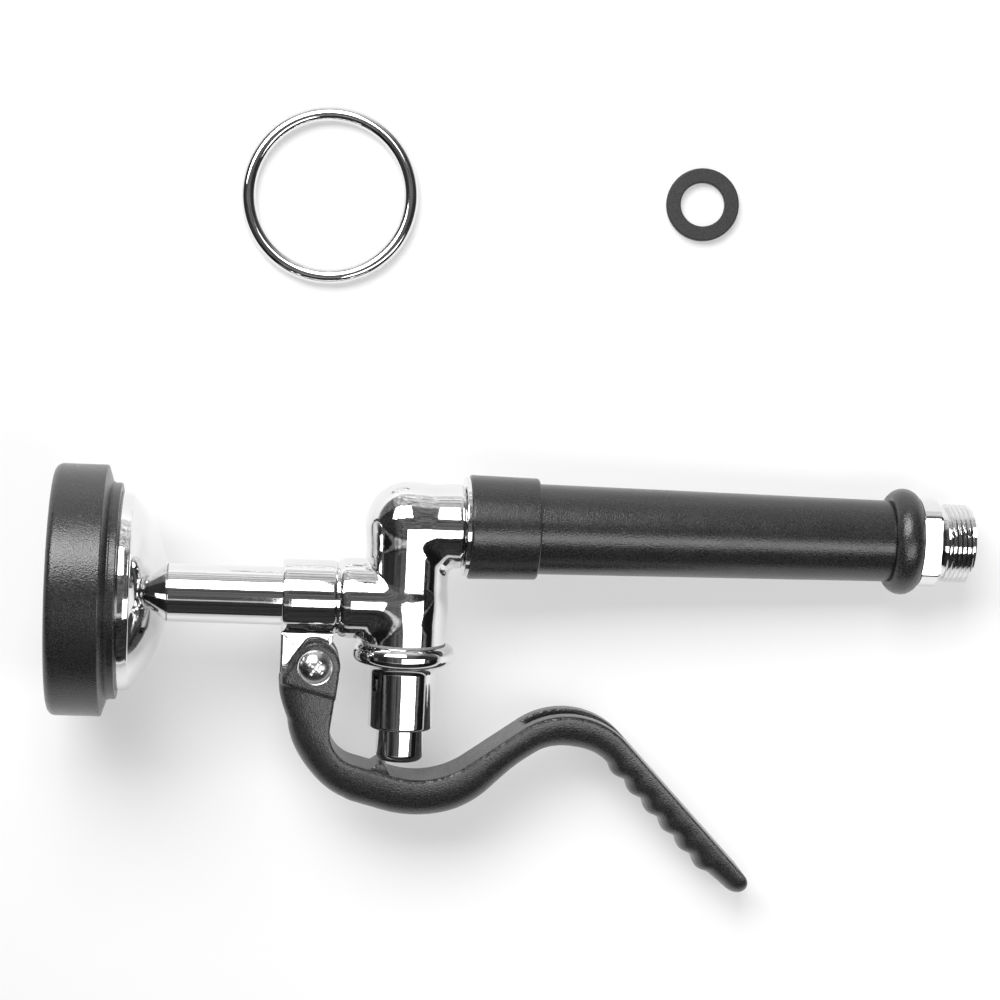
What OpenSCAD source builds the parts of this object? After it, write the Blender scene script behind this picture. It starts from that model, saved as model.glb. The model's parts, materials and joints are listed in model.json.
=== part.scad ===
// Hand-held pre-rinse spray valve with a squeeze lever, a loose hold-down ring
// and a loose hose washer, all lying on a bench.
//
// Every piece of the sprayer is drawn in the sprayer's own axes: X along the
// nozzle and the grip towards the hose, Y from the lever up to the grip, Z out
// of the lever's side.  The zero point is where the barrel's axis crosses the
// nozzle's axis.  lying() then lays the sprayer on the bench, where it rests on
// its bumper, its end ring and the lever's tip.  +Z is up and z = 0 is the bench.

/* [Valve body] */
// Outside diameter of the upright barrel
barrel_d = 22; // [21.5:0.5:26]
// Nozzle axis down to the barrel's lower end
barrel_drop = 11.1; // [11:0.1:14]
// Nozzle axis up to the grip's axis
grip_offset = 20; // [19:0.5:26]
// Outside diameter of the neck between barrel and nozzle collar
neck_d = 21.4; // [20.5:0.1:21.4]
// Barrel axis to the nozzle collar
neck_len = 18.4; // [18:0.2:26]
// Length of the rounded shoulder where the neck starts
shoulder_len = 4.6; // [3:0.2:6]
// Outside diameter of the nozzle collar
collar_d = 19.8; // [19:0.2:20.4]
// Length of the nozzle collar
collar_len = 14.3; // [13.5:0.5:24]
// Barrel axis to the end of the handle stub
stub_len = 14.6; // [13:0.2:24]
// Water way from the handle into the barrel
inlet_bore = 11; // [8:0.5:11]
// Water way from the barrel to the nozzle
outlet_bore = 9; // [6:0.5:9]
// Upper chamber, where the valve disc moves
chamber_bore = 14.8; // [14.6:0.2:16]
// Lower bore, which takes the seat insert and the bonnet
gallery_bore = 16.4; // [16.2:0.1:17.6]
// Wall above the upper chamber
roof_wall = 4.5; // [3.5:0.5:5]

/* [Lever mount] */
// Barrel axis to the lever's pivot, along the nozzle
pivot_back = 23.5; // [23:0.5:28]
// Nozzle axis down to the lever's pivot
pivot_drop = 17.4; // [17:0.2:20]
// Thickness of the tab under the collar
tab_thick = 6; // [4:0.5:8]
// Radius of the tab's round eye
tab_eye_r = 7.4; // [6:0.2:7.6]
// Outside diameter of the bush in the tab
bush_d = 7; // [6.4:0.2:9]
// Diameter of the pivot screw
pivot_d = 5; // [4:0.5:5.5]
// Diameter of the pivot screw's domed head
head_d = 9.4; // [8:0.2:10]
// Height of the dome
head_rise = 2.4; // [1.5:0.1:3]
// Width across the flats of the pivot nut
pivot_nut_flats = 8; // [7:0.5:10]
// Thickness of the pivot nut
pivot_nut_thick = 3; // [2:0.2:4]

/* [Lever] */
// Width of the lever across its sides
lever_w = 17; // [15:0.5:22]
// Radius of the ear round the pivot
ear_r = 6.6; // [6.4:0.1:7.8]
// Depth of the arm where it leaves the ears
arm_depth = 15.2; // [13:0.2:16]
// Depth of the lever round its heel
heel_depth = 9; // [8:0.1:11]
// Depth of the lever under the plunger
sole_depth = 10.5; // [8:0.1:12]
// Depth of the lever on the rise
rise_depth = 8.1; // [7:0.1:11]
// Depth of the lever over the crest
crest_depth = 9; // [7:0.1:11]
// Depth of the finger rest between its ridges
rest_depth = 7.3; // [6:0.1:9]
// Depth of the lever at its tip
tip_depth = 6.2; // [5:0.1:7]
// Lean of the arm back from upright
arm_lean = 7.2; // [3:0.2:9]
// Inner radius of the heel below the arm
heel_r = 8.9; // [6:0.1:10]
// Barrel axis to the rib that pushes the plunger, towards the nozzle
rib_back = 5.4; // [4:0.2:7]
// Straight run under the plunger
sole_len = 11; // [10:0.5:16]
// Fall of that run
sole_fall = 15; // [10:1:18]
// Inner radius of the bend before the rise
sweep_r = 23.4; // [16:0.2:26]
// Slope of the rise
rise_slope = 35.2; // [30:0.2:42]
// Straight run of the rise
rise_len = 17.4; // [13:0.2:20]
// Radius of the crest on its upper face
crest_r = 21.5; // [18:0.5:28]
// Slope of the finger rest
rest_slope = 46.4; // [40:0.2:52]
// Length of the finger rest
rest_len = 53; // [46:1:60]
// Number of ridges under the finger rest
ridge_n = 6; // [4:1:7]
// Distance from ridge to ridge
ridge_pitch = 6.9; // [5:0.1:7]
// Height of a ridge
ridge_h = 1.1; // [0.5:0.1:1.6]
// Radius of the rib that pushes the plunger
rib_r = 2.1; // [2:0.1:3.2]
// Angle that the lever turns when it is squeezed
lever_squeeze = 16; // [10:1:16]

/* [Bonnet and plunger] */
// Diameter of the bonnet's flange
flange_d = 27; // [25:0.5:30]
// Thickness of the flange
flange_thick = 5.4; // [4.5:0.1:6]
// Rounding of the flange's rim
flange_round = 2.4; // [1:0.1:2.6]
// Thickness of the fibre gasket above the flange
gasket_thick = 0.5; // [0.3:0.1:1]
// Outside diameter of the bonnet below its flange
bonnet_d = 17.6; // [16.4:0.2:18]
// Length of the bonnet below its flange
bonnet_len = 17.3; // [16:0.1:17.6]
// Length of the bonnet's spigot inside the barrel
bonnet_spigot = 6.1; // [5.5:0.1:6.4]
// Diameter of the plunger
plunger_d = 12.8; // [11:0.2:13]
// Length of the plunger that shows when the lever is let go
plunger_show = 8.8; // [8.4:0.1:9.3]
// Rounding of the plunger's end
plunger_round = 2; // [1:0.1:2.4]
// Diameter of the valve stem
stem_d = 5; // [4:0.2:5]
// Thickness of a stem O-ring
seal_wire = 1.8; // [1.4:0.1:1.8]

/* [Valve seat and disc] */
// Height of the seat insert
seat_h = 3.8; // [3:0.1:3.9]
// Water way through the seat
seat_bore = 9.6; // [8:0.2:10]
// Height of the raised rim that the disc closes on
seat_lip = 0.3; // [0.2:0.1:0.6]
// Thickness of the rubber disc washer
disc_thick = 2.2; // [1.6:0.1:2.6]
// Diameter of the rubber disc washer
disc_d = 12.5; // [11.5:0.1:12.9]
// Thickness of the brass disc holder over the washer
holder_thick = 2.5; // [1.8:0.1:3]
// Width across the flats of the stem nut
nut_flats = 7; // [6.5:0.1:7.6]
// Thickness of the stem nut
nut_thick = 2.2; // [1.6:0.1:2.6]
// Wire of the return spring
spring_wire = 0.9; // [0.7:0.05:0.95]
// Mean diameter of the return spring
spring_d = 10.8; // [9:0.2:11.4]
// Turns of the return spring
spring_turns = 6; // [5:0.5:6]

/* [Nozzle and bell] */
// Outside diameter of the nozzle tube
tube_d = 15.4; // [14:0.2:15.8]
// Bore of the nozzle tube
tube_bore = 10.8; // [9:0.2:11]
// Length of tube that shows between collar and bell
tube_show = 30.1; // [20:0.1:60]
// Length of tube inside the collar
tube_in_collar = 11; // [9:0.5:11]
// Length of tube inside the bell's hub
tube_in_bell = 6.3; // [5:0.1:6.4]
// Radius of the bell's dome
dome_r = 38.7; // [35:0.1:44]
// Outside diameter of the bell's rim
bell_d = 52.2; // [48:0.2:56]
// Length of the bell's straight rim
bell_rim = 15.4; // [12:0.1:18]
// Wall of the bell
bell_wall = 1.6; // [1.2:0.1:1.8]
// Thickness of the spray plate
plate_thick = 1.8; // [1.2:0.1:2.4]
// Diameter of one spray hole
jet_d = 1.3; // [0.8:0.1:1.6]
// Rings of spray holes
jet_rings = 3; // [1:1:3]
// Thickness of the plate's gasket
plate_gasket = 1.2; // [0.8:0.1:1.6]
// Diameter of the plate's screw
plate_screw_d = 3; // [2.5:0.5:3.5]

/* [Bumper] */
// Outside diameter of the rubber bumper
bumper_d = 66; // [62:0.2:76]
// Width of the bumper
bumper_w = 15.2; // [14:0.1:24]
// Length of the thin lip behind the bumper
lip_len = 2.3; // [1.6:0.1:4]
// Wall of that lip
lip_wall = 2.25; // [0.8:0.05:2.6]
// Rounding of the bumper's front edges
bumper_round = 2.2; // [0.8:0.1:2.4]
// Length of the rounded shoulder from the bumper's band down to the lip
bumper_shoulder = 1.9; // [1.5:0.1:3.5]
// Bumper's edge in front of the bell's rim
bumper_front = 5.2; // [4.6:0.1:7]
// Radial hold of that edge over the bell's rim
bumper_hold = 1.2; // [0.8:0.1:1.6]

/* [Grip] */
// Outside diameter of the grip's steel tube
core_d = 19.2; // [18:0.2:20]
// Wall of the steel tube
core_wall = 2; // [1.5:0.1:2]
// Diameter of the polished washer before the grip
washer_d = 26.4; // [24:0.2:27]
// Thickness of that washer
washer_thick = 1.3; // [0.6:0.1:1.5]
// Diameter of the grip collar at the body
grip_collar_d = 27.6; // [26.4:0.2:30]
// Length of the grip collar
grip_collar_len = 18.3; // [14:0.1:24]
// Taper of the grip collar over its length, on the diameter
grip_collar_taper = 0.7; // [0:0.1:1]
// Rounding of the collar's far edge
grip_collar_round = 1.6; // [0.5:0.1:1.8]
// How far the sleeve runs in under the collar
sleeve_under = 5.3; // [3:0.1:8]
// Step from the collar down to the sleeve
sleeve_step = 1.8; // [1.2:0.1:2]
// Diameter of the sleeve at the end ring
sleeve_end_d = 21.8; // [21.6:0.2:24]
// Length of sleeve that shows
sleeve_show = 95; // [80:1:130]
// Outside diameter of the end ring
end_ring_d = 28.5; // [27.5:0.1:31]
// Thickness of the end ring's round section
end_ring_wire = 9; // [8.6:0.2:10]
// Length of the end ring between its flat faces
end_ring_len = 7.4; // [7:0.1:8.4]

/* [Inlet] */
// Diameter of the connector's spanner collar
spanner_d = 23.9; // [23:0.1:25]
// Width across its two flats
spanner_flats = 17.8; // [16:0.1:20]
// Length of the spanner collar
spanner_len = 5.3; // [4:0.1:8]
// Length of the groove behind the thread
relief_len = 2.1; // [1:0.1:2.4]
// Outside diameter of the half-inch pipe thread
thread_d = 20.955; // [20:0.005:22]
// Length of the thread
thread_len = 7.2; // [6:0.1:12]
// Bore of the connector
connector_bore = 12; // [10:0.2:12]
// Length of the connector inside the steel tube
connector_spigot = 12; // [9:0.5:16]

/* [Loose pieces] */
// Mean diameter of the hold-down ring
ring_d = 44.6; // [40:0.2:60]
// Wire of the hold-down ring
ring_wire = 4.1; // [3:0.1:6]
// Place of the hold-down ring on the bench from the barrel, to the right
ring_right = -25.4; // [-60:0.2:0]
// Place of the hold-down ring on the bench from the barrel, away from the lever
ring_up = 109.2; // [90:0.2:130]
// Outside diameter of the hose washer
hose_washer_d = 19.9; // [18:0.1:24]
// Hole of the hose washer
hose_washer_hole = 12; // [10:0.1:14]
// Thickness of the hose washer
hose_washer_thick = 2.5; // [1.5:0.1:4]
// Place of the hose washer on the bench from the barrel, to the right
hose_washer_right = 76.8; // [60:0.2:110]
// Place of the hose washer on the bench from the barrel, away from the lever
hose_washer_up = 110.2; // [90:0.2:130]

/* [Clearances] */
// Radial gap between fixed pieces that fit in each other
seat_gap = 0.05; // [0.02:0.01:0.08]
// Radial gap of a running fit
run_gap = 0.06; // [0.03:0.01:0.09]
// Gap between the fork and the tab, on each side
fork_gap = 0.35; // [0.3:0.05:0.6]
// Gap between the rib and the plunger when the lever is let go
rib_gap = 0.27; // [0.25:0.01:0.35]

/* [Hidden] */

$fn = 72;
cut = 1;                   // how far a cut runs past the face it opens
chrome = [0.86, 0.87, 0.88];
steel = [0.70, 0.71, 0.72];
brass = [0.80, 0.66, 0.36];
black_rubber = [0.13, 0.13, 0.13];
black_plastic = [0.17, 0.17, 0.17];
fibre = [0.45, 0.42, 0.38];

barrel_r = barrel_d / 2;
neck_r = neck_d / 2;
collar_r = collar_d / 2;
tube_r = tube_d / 2;
core_r = core_d / 2;
stem_r = stem_d / 2;
plunger_r = plunger_d / 2;
bonnet_r = bonnet_d / 2;
flange_r = flange_d / 2;
grip_y = grip_offset;
pivot = [-pivot_back, -pivot_drop];

// ---- places along the nozzle's axis ----
plate_inset = 1;
ledge_w = 1.5;             // width of the ledge that the plate's gasket lies on
hub_wall = 2.7;
hub_floor = 2;             // hub behind the nozzle tube's end
web_len = 4.5;
web_thick = 1.8;
web_sink = 0.6;            // how far the webs and the post stand in the hub
post_wall = 1.9;
collar_face = -neck_len - collar_len;
tube_start = collar_face + tube_in_collar;
hub_face = collar_face - tube_show;
tube_end = hub_face - tube_in_bell;
dome_x = hub_face - sqrt(pow(dome_r, 2) - pow(tube_r, 2));
bell_r = bell_d / 2;
rim_start = dome_x + sqrt(pow(dome_r, 2) - pow(bell_r, 2));
rim_x = rim_start - bell_rim;
plate_front = rim_x + plate_inset;
plate_back = plate_front + plate_thick;
ledge_x = plate_back + plate_gasket;
plate_r = bell_r - bell_wall;
ledge_r = plate_r - ledge_w;
hub_r = tube_r + hub_wall;
hub_end = tube_end - hub_floor;
post_r = plate_screw_d / 2 + post_wall;
bumper_x = rim_x - bumper_front;
bumper_back = bumper_x + bumper_w;
bumper_r = bumper_d / 2;
bumper_seat_r = bell_r + seat_gap;
lip_r = bumper_seat_r + lip_wall;
shoulder_x = bumper_back - bumper_shoulder;

// ---- places along the grip's axis ----
socket_depth = 5;
sleeve_d = grip_collar_d - 2 * sleeve_step;
core_start = stub_len - socket_depth;
washer_end = stub_len + washer_thick;
grip_collar_end = washer_end + grip_collar_len;
sleeve_start = grip_collar_end - sleeve_under;
sleeve_end = grip_collar_end + sleeve_show;
ring_end = sleeve_end + end_ring_len;
spanner_end = ring_end + spanner_len;
relief_end = spanner_end + relief_len;
inlet_end = relief_end + thread_len;
core_bore_r = core_r - core_wall;
thread_chamfer = 0.8;

// ---- places along the barrel's axis, from the roof down ----
seat_margin = 0.4;         // seat insert above the nozzle's water way
holder_wall = 0.55;
stem_over = 3.3;           // stem above the disc holder, for the spring
gland_h = 2.6;
plunger_sole = 6;          // solid end of the plunger under the stem
roof_y = grip_y + barrel_r - roof_wall;
seat_low = outlet_bore / 2 + seat_margin;
seat_top = seat_low + seat_h;
disc_low = seat_top + seat_lip;
disc_top = disc_low + disc_thick;
holder_top = disc_top + holder_thick;
holder_r = disc_d / 2 + seat_gap + holder_wall;
stem_top = holder_top + stem_over;
nut_low = disc_low - nut_thick;
gasket_low = -barrel_drop - gasket_thick;
spigot_top = gasket_low + bonnet_spigot;
flange_low = gasket_low - flange_thick;
bonnet_low = flange_low - bonnet_len;
plunger_low = bonnet_low - plunger_show;
pocket_r = stem_r + seal_wire + 2 * seat_gap;
pocket_low = spigot_top - gland_h - 2 * seal_wire - 3 * seat_gap;
stem_low = plunger_low + plunger_sole;

// ---- the lever's inner face: a chain of straights and arcs in the X-Y plane ----
arc_len = PI / 180;
arm_set = 1;               // where the lever's face leaves the ears, as a share of their radius
heel_turn = 90 + arm_lean - sole_fall;
sweep_turn = sole_fall + rise_slope;
crest_turn = rise_slope + rest_slope;
arm_start = pivot + [arm_set * ear_r, 0];

// the rib just misses the plunger's end, and the arm is as long as that takes
rib_sink = 0.05;           // depth of the rib's axis under the lever's face
rib_off = max(0, rib_back - plunger_r + plunger_round);
rib_y = plunger_low - rib_gap + plunger_round - sqrt(pow(rib_r + plunger_round, 2) - pow(rib_off, 2));
rib_at = [-rib_back, rib_y];
heel_x = heel_r * (cos(arm_lean) - sin(sole_fall));
heel_y = heel_r * (cos(sole_fall) + sin(arm_lean));
arm_len = (arm_start[1] - heel_y + (rib_back + arm_start[0] + heel_x) * tan(sole_fall) - rib_y - rib_sink)
    / (cos(arm_lean) + sin(arm_lean) * tan(sole_fall));

lever_runs = [[arm_len, 0],
              [heel_r * heel_turn * arc_len, heel_turn],
              [sole_len, 0],
              [sweep_r * sweep_turn * arc_len, sweep_turn],
              [rise_len, 0],
              [crest_r * crest_turn * arc_len, -crest_turn],
              [rest_len, 0]];

// place and heading after a length along one run: [x, y, heading]
function along(from, run, go) =
    let (h = from[2], turn = run[1] * go / run[0])
    run[1] == 0 ? [from[0] + go * cos(h), from[1] + go * sin(h), h]
    : let (r = run[0] / (run[1] * arc_len))
      [from[0] + r * (sin(h + turn) - sin(h)), from[1] - r * (cos(h + turn) - cos(h)), h + turn];

// place and heading where run i starts, and the length of face before it
function run_start(i) = i == 0 ? [arm_start[0], arm_start[1], -90 - arm_lean]
    : along(run_start(i - 1), lever_runs[i - 1], lever_runs[i - 1][0]);
function run_mark(i) = i == 0 ? 0 : run_mark(i - 1) + lever_runs[i - 1][0];
starts = [for (i = [0 : len(lever_runs)]) run_start(i)];
marks = [for (i = [0 : len(lever_runs)]) run_mark(i)];
face_len = marks[len(lever_runs)];

function run_of(s, i = 0) = i == len(lever_runs) - 1 || s < marks[i + 1] ? i : run_of(s, i + 1);
function face_at(s) = let (i = run_of(s)) along(starts[i], lever_runs[i], s - marks[i]);
function ease(t) = let (u = min(max(t, 0), 1)) u * u * (3 - 2 * u);

// depth of the lever behind its inner face: [run, share of that run, depth there]
depth_marks = [[0, 0.37, arm_depth], [1, 0.59, heel_depth], [2, 0.27, sole_depth],
               [3, 0.59, sole_depth], [4, 0.75, rise_depth], [5, 0.5, crest_depth],
               [6, 0.15, rest_depth], [6, 0.74, rest_depth], [6, 0.96, tip_depth]];
depth_stops = [for (m = depth_marks) [marks[m[0]] + m[1] * lever_runs[m[0]][0], m[2]]];
function stop_before(s, i = 0) = i == len(depth_stops) - 2 || s < depth_stops[i + 1][0] ? i
    : stop_before(s, i + 1);
function depth_at(s) =
    let (i = stop_before(s), a = depth_stops[i], b = depth_stops[i + 1])
    a[1] + (b[1] - a[1]) * ease((s - a[0]) / (b[0] - a[0]));

// the ridges under the finger rest, which stop short of the tip
ridge_margin = 9.8;
ridge_end = face_len - ridge_margin;
ridge_from = ridge_end - ridge_n * ridge_pitch;
function ridge_at(s) = s < ridge_from || s > ridge_end ? 0
    : ridge_h * pow(sin(180 * (ridge_end - s) / ridge_pitch), 2);

// one cross-section: flat towards the grip, rounded behind, and drawn in at the tip
lever_sides = 13;
squareness = 0.72;         // 1 gives a half ellipse, less gives flatter sides
nose_len = 4;
nose_least = 0.12;         // how thin the section gets at the tip, as a share
nose_narrow = 0.55;        // how much the tip is drawn in from its sides, as a share
function nose_at(s) = let (u = max(0, (s - face_len + nose_len) / nose_len)) sqrt(max(0, 1 - u * u));
function lever_ring(s) =
    let (f = face_at(s), k = max(nose_at(s), nose_least), d = depth_at(s))
    [for (i = [0 : lever_sides])
        let (a = 180 * i / lever_sides,
             c = cos(a),
             z = lever_w / 2 * sign(c) * pow(abs(c), squareness) * (1 - nose_narrow * (1 - k)),
             full = (d + ridge_at(s)) * pow(sin(a), squareness),
             deep = d / 2 + (full - d / 2) * k)
        [f[0] + sin(f[2]) * deep, f[1] - cos(f[2]) * deep, z]];

sweep_from = 0.31 * arm_len;   // where the ears end and the lever's section starts
sweep_lap = 0.3 * sweep_from;  // how far the section runs up into the ears
plain_steps = 48;
tip_steps = 3;
ridge_steps = 6;           // sections for each ridge
stations = concat(
    [for (i = [0 : plain_steps - 1])
        sweep_from - sweep_lap + (ridge_from - sweep_from + sweep_lap) * i / plain_steps],
    [for (i = [0 : ridge_steps * ridge_n]) ridge_from + i * ridge_pitch / ridge_steps],
    [for (i = [1 : tip_steps - 1]) ridge_end + (ridge_margin - nose_len) * i / tip_steps],
    [for (a = [0, 25, 45, 60, 72, 81, 87]) face_len - nose_len + nose_len * sin(a)]);
rings = [for (s = stations) lever_ring(s)];
ear_foot = face_at(sweep_from);
ear_corner = [ear_foot[0], ear_foot[1]]
    + depth_at(sweep_from) * [sin(ear_foot[2]), -cos(ear_foot[2])];

// ---- how the sprayer lies: on its bumper's rim, its end ring and the lever's tip ----
end_ring_r = end_ring_d / 2 - end_ring_wire / 2;
end_ring_x = sleeve_end + end_ring_len / 2;
tip_points = [for (i = [len(rings) - 16 : len(rings) - 1]) each rings[i]];

// how far the bumper's rounded shoulder reaches down from the nozzle's axis, level with shoulder_x
function rim_reach(pitch) = lip_r * cos(pitch)
    + sqrt(pow(bumper_shoulder * sin(pitch), 2) + pow((bumper_r - lip_r) * cos(pitch), 2));
function pitch_for(roll, guess = 0, n = 12) = n == 0 ? guess
    : pitch_for(roll, asin((rim_reach(guess) + grip_y * sin(roll) * cos(guess)
                            - end_ring_r * cos(guess) - end_ring_wire / 2)
                           / (end_ring_x - shoulder_x)), n - 1);
function height_for(pitch) = rim_reach(pitch) + shoulder_x * sin(pitch);
function lift_of(p, roll, pitch) = (p[1] * sin(roll) + p[2] * cos(roll)) * cos(pitch) - p[0] * sin(pitch);
function tip_height(roll) = let (pitch = pitch_for(roll))
    height_for(pitch) + min([for (p = tip_points) lift_of(p, roll, pitch)]);
function roll_between(low, high, n = 24) = let (mid = (low + high) / 2)
    n == 0 ? mid : tip_height(mid) > 0 ? roll_between(mid, high, n - 1) : roll_between(low, mid, n - 1);

lie_roll = roll_between(-5, 25);
lie_pitch = pitch_for(lie_roll);
lie_height = height_for(lie_pitch);

// ---- the middle of everything on the bench, which is the part's zero point ----
low_x = (bumper_x + bumper_round) * cos(lie_pitch) - (bumper_r - bumper_round) * sin(lie_pitch)
    - bumper_round;
high_x = inlet_end * cos(lie_pitch) + (grip_y * sin(lie_roll) + thread_d / 2 - thread_chamfer) * sin(lie_pitch);
low_y = min([for (p = tip_points) p[1] * cos(lie_roll) - p[2] * sin(lie_roll)]);
high_y = max(ring_up + (ring_d + ring_wire) / 2, hose_washer_up + hose_washer_d / 2);
middle = [(low_x + high_x) / 2, (low_y + high_y) / 2, 0];

echo(roll = lie_roll, pitch = lie_pitch, height = lie_height, middle = middle, arm_len = arm_len);

module lying() {
    translate([0, 0, lie_height] - middle) rotate([lie_roll, lie_pitch, 0]) children();
}

// points of an arc about a centre, from one angle to another
function arc(c, r, from, to, n = 6) =
    [for (i = [0 : n]) let (a = from + (to - from) * i / n) [c[0] + r * cos(a), c[1] + r * sin(a)]];

// a turned piece: its outline holds [radius, place along the axis] points
module turned(outline) {
    rotate_extrude() polygon(outline);
}

// a ring of round wire
module wire_ring(mean_r, wire) {
    rotate_extrude() translate([mean_r, 0]) circle(d = wire);
}

// the three axes: a piece drawn along Z comes to lie along one of them
module on_barrel() {
    rotate([-90, 0, 0]) children();
}

module on_nozzle() {
    rotate([0, 90, 0]) children();
}

module on_grip() {
    translate([0, grip_y, 0]) rotate([0, 90, 0]) children();
}

module on_pivot() {
    translate([pivot[0], pivot[1], 0]) children();
}

// a plain bore or bar between two places on its axis
module bar(r, low, high) {
    translate([0, 0, low]) cylinder(r = r, h = high - low);
}

// ---- valve body ----
groove_w = 0.6;            // groove between the neck and the nozzle collar
groove_deep = 0.4;
stub_ease = 0.06;          // the handle stub is a hair thinner than the barrel
tab_back = 3.1;            // the tab's square corner below the pivot
tab_neck = 0.62;           // width of the tab before the pivot, as a share of its eye

module elbow_corner() {
    translate([0, grip_y, 0]) rotate_extrude(angle = 90, start = 90) intersection() {
        circle(r = barrel_r);
        translate([0, -barrel_r - cut]) square([barrel_r + cut, 2 * barrel_r + 2 * cut]);
    }
}

module neck() {
    step_r = collar_r - groove_deep;
    shoulder = [for (i = [0 : 5]) let (a = 90 * i / 5)
        [step_r + (neck_r - step_r) * sin(a), groove_w - neck_len + shoulder_len * (1 - cos(a))]];
    turned(concat([[0, 0], [0, -neck_len], [step_r, -neck_len]], shoulder, [[neck_r, 0]]));
}

module tab() {
    top = -(tube_r + seat_gap + collar_r) / 2;
    left = collar_face;
    foot = pivot[1] - tab_back;
    linear_extrude(height = tab_thick, center = true) {
        translate([left, foot]) square([pivot[0] - left, top - foot]);
        translate([pivot[0], pivot[1]]) square([tab_eye_r * tab_neck, top - pivot[1]]);
        translate([pivot[0], pivot[1]]) circle(r = tab_eye_r);
    }
}

module valve_body() {
    color(chrome) lying() difference() {
        union() {
            on_barrel() bar(barrel_r, -barrel_drop, grip_y);
            elbow_corner();
            on_grip() bar(barrel_r - stub_ease, 0, stub_len);
            on_nozzle() neck();
            on_nozzle() bar(collar_r, collar_face, -neck_len);
            tab();
        }
        on_barrel() bar(gallery_bore / 2, -barrel_drop - cut, seat_top);
        on_barrel() bar(chamber_bore / 2, 0, roof_y);
        on_grip() bar(inlet_bore / 2, 0, stub_len);
        on_grip() bar(core_r + seat_gap, core_start, stub_len + cut);
        on_nozzle() bar(outlet_bore / 2, tube_start - cut, 0);
        on_nozzle() bar(tube_r + seat_gap, collar_face - cut, tube_start);
        on_pivot() cylinder(d = bush_d + 2 * seat_gap, h = tab_thick + 2 * cut, center = true);
    }
}

// ---- bonnet, its seals and what slides in it ----
bonnet_chamfer = 0.4;
plunger_len = 16.2;
plunger_top = plunger_low + plunger_len;
plunger_room = 0.8;

// the rib pushes the plunger's rounded end: how far at a lever angle
function rib_spot(a) = let (v = rib_at - pivot)
    pivot + [v[0] * cos(a) - v[1] * sin(a), v[0] * sin(a) + v[1] * cos(a)];
function pushed(a) = let (c = rib_spot(a), off = max(0, abs(c[0]) - plunger_r + plunger_round))
    c[1] - plunger_round + sqrt(pow(rib_r + plunger_round, 2) - pow(off, 2));
plunger_lift = pushed(lever_squeeze) - plunger_low;
echo(plunger_lift = plunger_lift, gap_at_rest = plunger_low - pushed(0));

module bonnet() {
    outline = concat(
        [[pocket_r, spigot_top], [gallery_bore / 2 - seat_gap, spigot_top],
         [gallery_bore / 2 - seat_gap, gasket_low]],
        arc([flange_r - flange_round, gasket_low - flange_round], flange_round, 90, 0),
        arc([flange_r - flange_round, flange_low + flange_round], flange_round, 0, -90),
        [[bonnet_r, flange_low], [bonnet_r, bonnet_low + bonnet_chamfer],
         [bonnet_r - bonnet_chamfer, bonnet_low], [plunger_r + run_gap, bonnet_low],
         [plunger_r + run_gap, plunger_top + plunger_lift + plunger_room],
         [stem_r + run_gap, plunger_top + plunger_lift + plunger_room],
         [stem_r + run_gap, pocket_low], [pocket_r, pocket_low]]);
    color(chrome) lying() on_barrel() turned(outline);
}

module bonnet_gasket() {
    color(fibre) lying() on_barrel() difference() {
        bar(barrel_r, gasket_low, -barrel_drop);
        bar(gallery_bore / 2, gasket_low - cut, -barrel_drop + cut);
    }
}

module gland_bush() {
    color(brass) lying() on_barrel() difference() {
        bar(pocket_r - seat_gap, spigot_top - gland_h, spigot_top);
        bar(stem_r + run_gap, spigot_top - gland_h - cut, spigot_top + cut);
    }
}

module stem_seals() {
    color(black_rubber) lying() on_barrel() for (i = [0, 1])
        translate([0, 0, pocket_low + seat_gap + seal_wire / 2 + i * (seal_wire + seat_gap)])
            wire_ring(stem_r + seat_gap + seal_wire / 2, seal_wire);
}

module seat_insert() {
    lip_w = 1;
    lip_lean = 0.2;
    lip_r = seat_bore / 2 + lip_w;
    color(brass) lying() on_barrel() turned([
        [seat_bore / 2, seat_low], [gallery_bore / 2 - seat_gap, seat_low],
        [gallery_bore / 2 - seat_gap, seat_top], [lip_r, seat_top],
        [lip_r - lip_lean, disc_low], [seat_bore / 2, disc_low]]);
}

module seat_washer() {
    color(black_rubber) lying() on_barrel() difference() {
        bar(disc_d / 2, disc_low, disc_top);
        bar(stem_r + seat_gap, disc_low - cut, disc_top + cut);
    }
}

module disc_holder() {
    skirt_share = 0.7;
    skirt = disc_thick * skirt_share;
    color(brass) lying() on_barrel() turned([
        [stem_r + seat_gap, disc_top], [disc_d / 2 + seat_gap, disc_top],
        [disc_d / 2 + seat_gap, disc_top - skirt], [holder_r, disc_top - skirt],
        [holder_r, holder_top], [stem_r + seat_gap, holder_top]]);
}

module hex_nut(flats, thick, hole_r) {
    difference() {
        cylinder(d = flats / cos(30), h = thick, $fn = 6);
        translate([0, 0, -cut]) cylinder(r = hole_r, h = thick + 2 * cut);
    }
}

module stem_nut() {
    color(brass) lying() on_barrel() translate([0, 0, nut_low])
        hex_nut(nut_flats, nut_thick, stem_r + seat_gap);
}

module valve_stem() {
    color(steel) lying() on_barrel() bar(stem_r, stem_low, stem_top);
}

module plunger() {
    outline = concat(
        [[0, plunger_low]],
        arc([plunger_r - plunger_round, plunger_low + plunger_round], plunger_round, -90, 0),
        [[plunger_r, plunger_top], [stem_r + seat_gap, plunger_top],
         [stem_r + seat_gap, stem_low], [0, stem_low]]);
    color(chrome) lying() on_barrel() turned(outline);
}

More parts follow.
